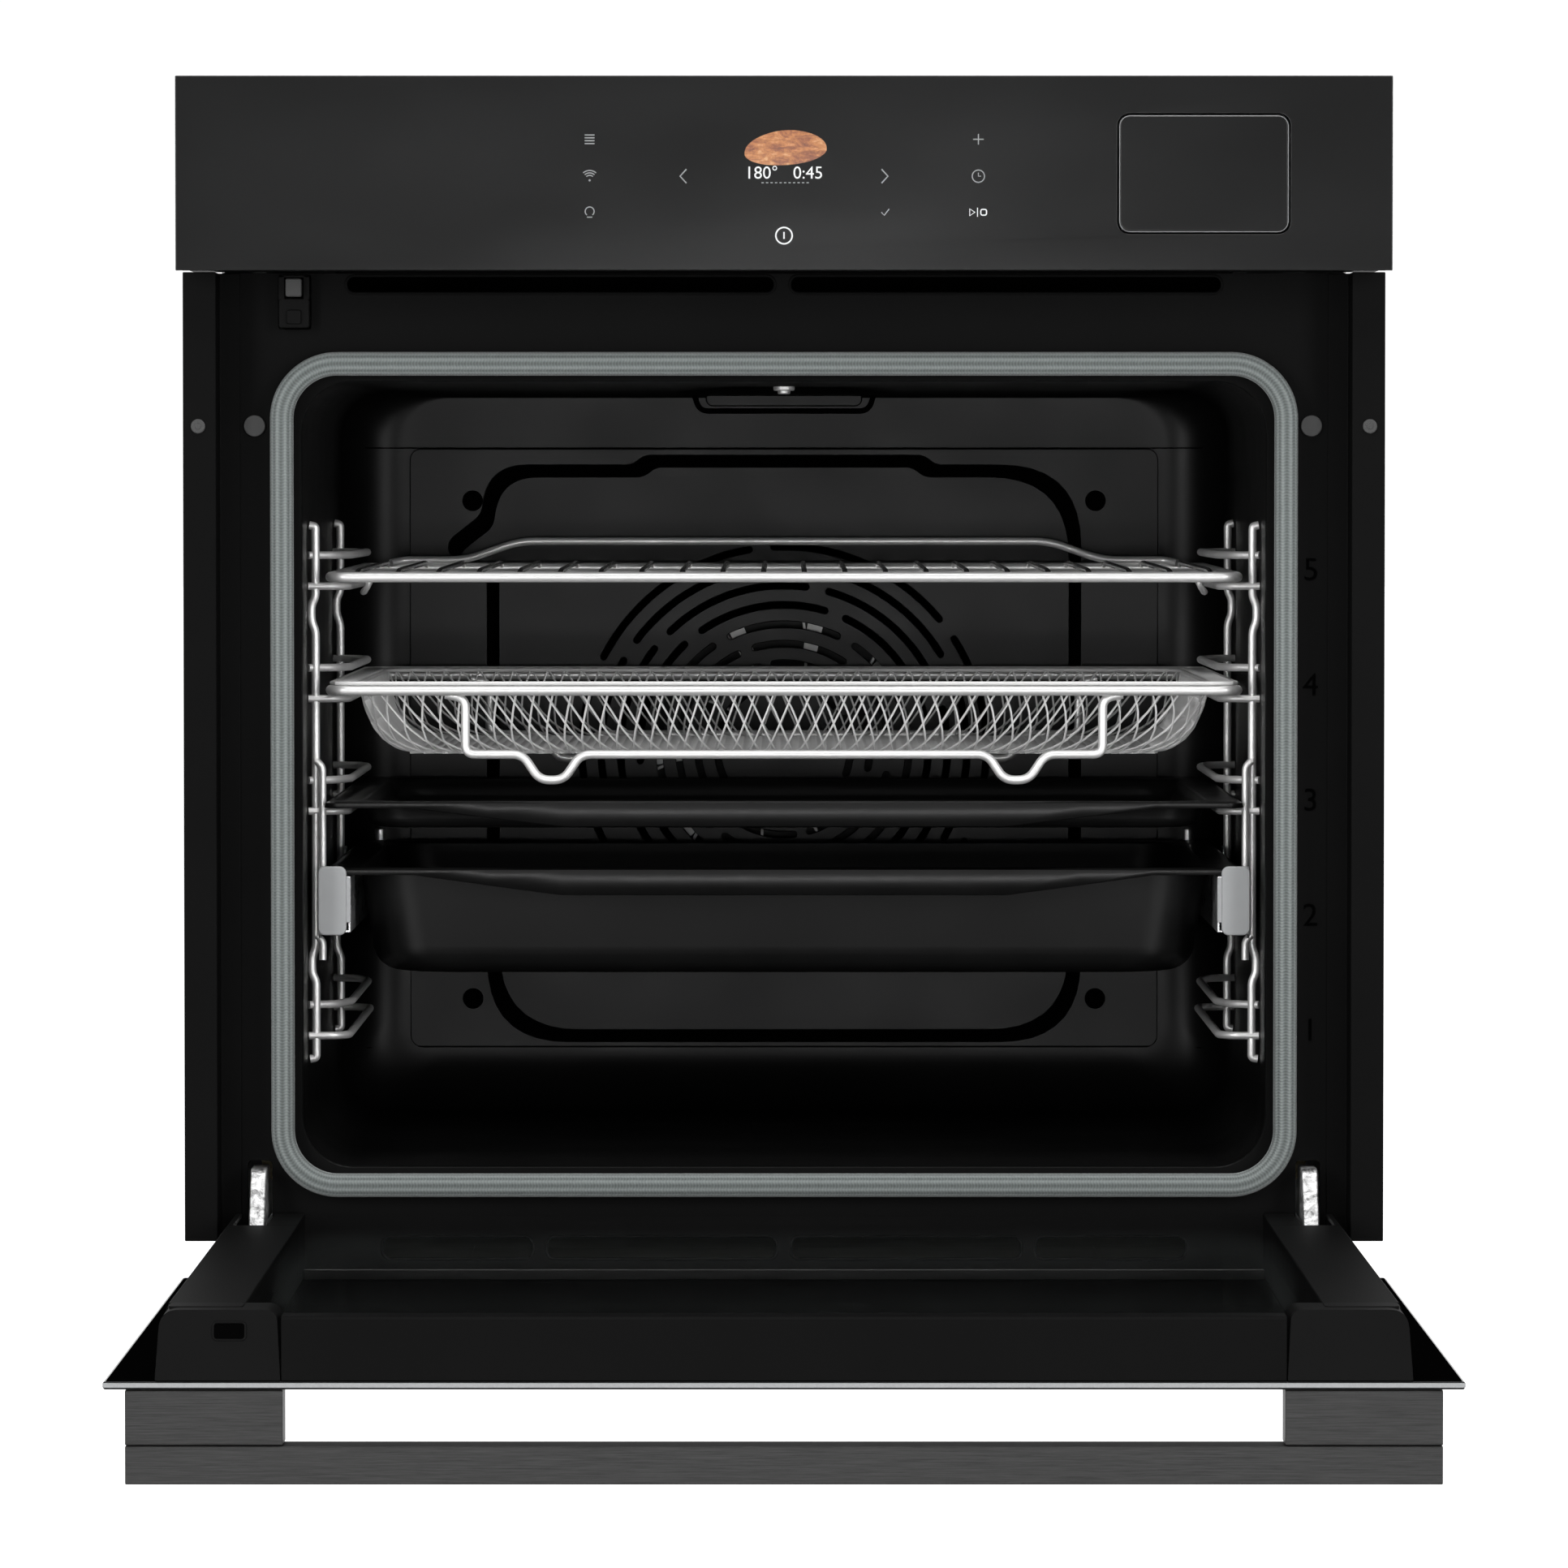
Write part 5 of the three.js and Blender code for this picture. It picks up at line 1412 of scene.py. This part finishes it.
def ribbed_panel(name, node, normal_axis, side, finish, ribs):
    """A sheet with long pressed ribs: height = each rib's depth times a soft-edged box both ways."""
    low, high = extent(node)
    u_axis, v_axis = {"x": (1, 2), "y": (0, 2), "z": (0, 1)}[normal_axis]
    w_axis = "xyz".index(normal_axis)
    u = np.unique(np.concatenate([np.linspace(low[u_axis], high[u_axis], 40),
                                  *[np.linspace(a - 3, b + 3, 14) for a, b, _, _ in ribs]]))
    v = np.unique(np.concatenate([np.linspace(low[v_axis], high[v_axis], 40),
                                  *[np.linspace(c - 3, d + 3, 14) for _, _, c, d in ribs]]))
    u, v = u[(u >= low[u_axis]) & (u <= high[u_axis])], v[(v >= low[v_axis]) & (v <= high[v_axis])]
    uu, vv = np.meshgrid(u, v, indexing="ij")
    press = sum(smooth_step(uu, a - 3, a + 5) * smooth_step(-uu, -b - 3, -b + 5) *
                smooth_step(vv, c - 3, c + 5) * smooth_step(-vv, -d - 3, -d + 5) for a, b, c, d in ribs)
    face = high[w_axis] if side > 0 else low[w_axis]
    outer = np.empty((*uu.shape, 3))
    outer[..., u_axis], outer[..., v_axis] = uu, vv
    outer[..., w_axis] = face + side * 2.2 * np.clip(press, 0, 1)
    inner = outer.copy()
    inner[..., w_axis] -= side * 1.0
    rows, columns = uu.shape
    skin = grid_faces(rows, columns)
    count = rows * columns
    edge = list(range(columns)) + [i * columns + columns - 1 for i in range(1, rows)]
    edge += [(rows - 1) * columns + j for j in range(columns - 2, -1, -1)]
    edge += [i * columns for i in range(rows - 2, 0, -1)]
    faces = skin + [[k + count for k in face][::-1] for face in skin]
    faces += [[a, b, b + count, a + count] for a, b in zip(edge, edge[1:] + edge[:1])]
    points = np.concatenate([outer.reshape(-1, 3), inner.reshape(-1, 3)])
    return piece(name, "chassis", outward(points, faces), finish, [node])


def louvre(low, high, side):
    """A vent hood pressed out of a side panel: a quarter-round scoop over a slot."""
    turn = np.linspace(0, np.pi / 2, 8)
    section = np.stack([4.5 * np.sin(turn), (high[1] - low[1]) * (1 - np.cos(turn))], 1)
    section = np.concatenate([section, section[::-1] * [0.72, 1] + [0, 0.6]])
    stations = [(low[0], 0.05), (low[0] + 4, 0.9), (low[0] + 8, 1), (high[0] - 8, 1), (high[0] - 4, 0.9),
                (high[0], 0.05)]
    rings = [np.stack([side * (SIDE_HIGH[0] + section[:, 0] * k), np.full(len(section), y),
                       low[1] + section[:, 1]], 1)
             for y, k in stations]
    return loft(rings)


def add_casing():
    """Galvanised sheets with pressed ribs, vent hoods, folded edges and screws."""
    y0, y1 = SIDE_LOW[1], SIDE_HIGH[1]
    ribs = [(y0 + 60, y1 - 60, z, z + 26) for z in (70, 190, 310, 430)]
    ribbed_panel("casing_side_left", "side_panel_left", "x", -1, ZINC, ribs)
    ribbed_panel("casing_side_right", "side_panel_right", "x", 1, ZINC, ribs)
    for side, name in ((-1, "left"), (1, "right")):
        hoods = [louvre((y, z), (y + 46, z + 6), side) for y in (330, 390, 450) for z in (505, 525, 545)]
        piece(f"side_vents_{name}", "chassis", together(*hoods), ZINC)
    ribbed_panel("casing_top", "top_cover", "z", 1, ZINC,
                 [(-230, -190, 70, 500), (190, 230, 70, 500), (-130, 130, 70, 110), (-130, 130, 460, 500)])
    low, high = BACK_LOW, BACK_HIGH
    outline = rounded_outline(low[0], high[0], low[2], high[2], 2, 4)
    vents = [rounded_outline(x - 28, x + 28, z, z + 6, 2.9, 6)[::-1] for x in (-160, -80, 0, 80, 160)
             for z in (490, 505, 520, 535)]
    cable_hole = rounded_outline(178, 222, 60, 92, 3, 4)[::-1]
    cut_sheet("casing_back", "chassis", [outline, *vents, cable_hole], low[1], high[1] - low[1], ZINC,
              ["back_cover"])
    bulge = disc((0, high[1], FAN_HEIGHT), 120, 6, edge=5.5, sides=64)
    frame_ribs = [slab((x - 10, high[1], 70), (x + 10, high[1] + 2.5, 460), 9, 2, "y") for x in (-190, 165)]
    piece("casing_back_pressings", "chassis", together(bulge, *frame_ribs), ZINC)
    spots = [(x, high[1], z) for x in (-270, 270) for z in (20, 200, 380, 575)]
    spots += [(x, high[1], z) for x in (-120, 0, 120) for z in (14, 578)]
    heads = [together(disc(spot, 4.2, 2.2, edge=1.4, sides=20), disc(spot, 5.6, 0.7, edge=0.3, sides=20))
             for spot in spots]
    piece("casing_screws", "chassis", together(*heads), RUNNER_ZINC)
    ribbed_panel("casing_base", "base_plate", "z", -1, ZINC, [])
    feet = [slab((x - 20, y - 60, 1.2), (x + 20, y + 60, 1.9), 6, 0.3, "z") for x in (-180, 180)
            for y in (150, 420)]
    piece("base_stiffeners", "chassis", together(*feet), ZINC)
    entry = together(slab((180, 516, 62), (220, 549, 90), 3, 1, "y"),
                     slab((172, 546.3, 54), (228, 549, 98), 4, 0.8, "y"),
                     disc((200, 548.2, 76), 11, 3.6, edge=1.2))
    piece("mains_entry", "chassis", entry, BLACK_PLASTIC, ["mains_terminal"])


def add_insides():
    """Finishes for the frame's own inner parts, which keep their shape."""
    finishes = {
        "fascia_support": BLACK_PLASTIC, "insulation": WOOL, "top_element": HEATER,
                "bottom_element": HEATER,
        "fan_motor": ZINC, "blower_housing": ZINC, "blower_wheel": FAN_STEEL, "steam_generator": ALUMINIUM,
        "control_box": GREY_PLASTIC, "tank_sleeve": GREY_PLASTIC, "tank_body": GREY_PLASTIC,
        "hinge_body_left": RUNNER_ZINC, "hinge_body_right": RUNNER_ZINC,
    }
    for node, finish in finishes.items():
        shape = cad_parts[node]
        shape.data.materials.clear()
        shape.data.materials.append(finish.material)


# ---- Camera, floor and light


def add_camera():
    """A long lens level with the wire shelf, tilted down about two degrees."""
    camera = bpy.data.objects.new("camera", bpy.data.cameras.new("camera"))
    bpy.context.scene.collection.objects.link(camera)
    camera.location = Vector((0, CABINET_FACE - CAMERA_DISTANCE, CAMERA_HEIGHT)) * MM
    camera.rotation_euler = (np.radians(90 - CAMERA_TILT), 0, 0)
    camera.data.lens, camera.data.sensor_width = LENS, 36.0
    camera.data.clip_end = 100
    bpy.context.scene.camera = camera


def add_floor():
    """A wide pale floor well below the hanging handle. It glows only far behind the oven."""
    half, drop = 60.0, -0.35
    mesh = bpy.data.meshes.new("floor")
    mesh.from_pydata([(x * half, y * half, drop) for x, y in ((-1, -1), (1, -1), (1, 1), (-1, 1))], [],
                     [(0, 1, 2, 3)])
    floor = bpy.data.objects.new("floor", mesh)
    bpy.context.scene.collection.objects.link(floor)
    pale = Finish("pale_floor", "floor", Base_Color=(0.85, 0.85, 0.85, 1), Roughness=0.95,
                  Specular_IOR_Level=0.1,
                  Emission_Strength=1.0)
    across = pale.node("SeparateXYZ", out=1, Vector=pale.node("TexCoord", out=3))
    behind = pale.node("MapRange", {"interpolation_type": "SMOOTHSTEP"}, Value=across, From_Min=0.75,
                       From_Max=1.15)
    pale.feed(Emission_Color=pale.between(behind, grey(0.0), grey(0.9)))
    mesh.materials.append(pale.material)


def add_world():
    """A dim, even room, with white only straight behind the oven."""
    world = bpy.data.worlds.new("studio")
    world.use_nodes = True
    tree = world.node_tree
    background = tree.nodes["Background"]
    where, split = tree.nodes.new("ShaderNodeTexCoord"), tree.nodes.new("ShaderNodeSeparateXYZ")
    fade = tree.nodes.new("ShaderNodeMapRange")
    fade.inputs["From Min"].default_value, fade.inputs["From Max"].default_value = 0.9, 0.98
    fade.inputs["To Min"].default_value, fade.inputs["To Max"].default_value = ROOM_LIGHT, 1.05
    tree.links.new(where.outputs["Generated"], split.inputs[0])
    tree.links.new(split.outputs["Y"], fade.inputs["Value"])
    tree.links.new(fade.outputs[0], background.inputs["Strength"])
    background.inputs["Color"].default_value = (1, 1, 1, 1)
    bpy.context.scene.world = world


def add_light(name, place, aim, width, height, power):
    """A rectangular soft box that looks from place to aim."""
    light = bpy.data.lights.new(name, "AREA")
    light.shape, light.size, light.size_y, light.energy = "RECTANGLE", width, height, power
    lamp = bpy.data.objects.new(name, light)
    bpy.context.scene.collection.objects.link(lamp)
    lamp.location = place
    lamp.rotation_euler = (Vector(aim) - Vector(place)).to_track_quat("-Z", "Y").to_euler()


def add_stage():
    """One soft box behind the camera, a tall one on each side of it, and one overhead, placed in metres."""
    add_camera()
    add_floor()
    add_world()
    add_light("behind_camera", (0, -5.2, 0.16), (0, 0, 0.3), 0.8, 0.3, FRONT_POWER)
    for side in (-1, 1):
        add_light(f"tall_{side + 2}", (side * 2.1, -3.0, 0.9), (0, 0, 0.25), 0.7, 2.0, TALL_POWER)
    add_light("overhead", (0, -1.2, 2.6), (0, -0.1, 0.3), 1.6, 1.0, TOP_POWER)
    bpy.context.scene.view_settings.view_transform = "Standard"


add_stage()
add_fascia()
add_tank_front()
add_symbols()
add_screen()
add_front_plate()
add_air_duct()
add_trims()
add_seal()
add_lock()
add_hinge_arms()
add_cavity()
add_steam_nozzle()
add_rear_panel()
add_convection_fan()
add_side_racks()
add_runners()
add_wire_shelf()
add_basket_frame()
add_basket_mesh()
add_trays()
add_door_glass()
add_door_profiles()
add_handle()
add_casing()
add_insides()
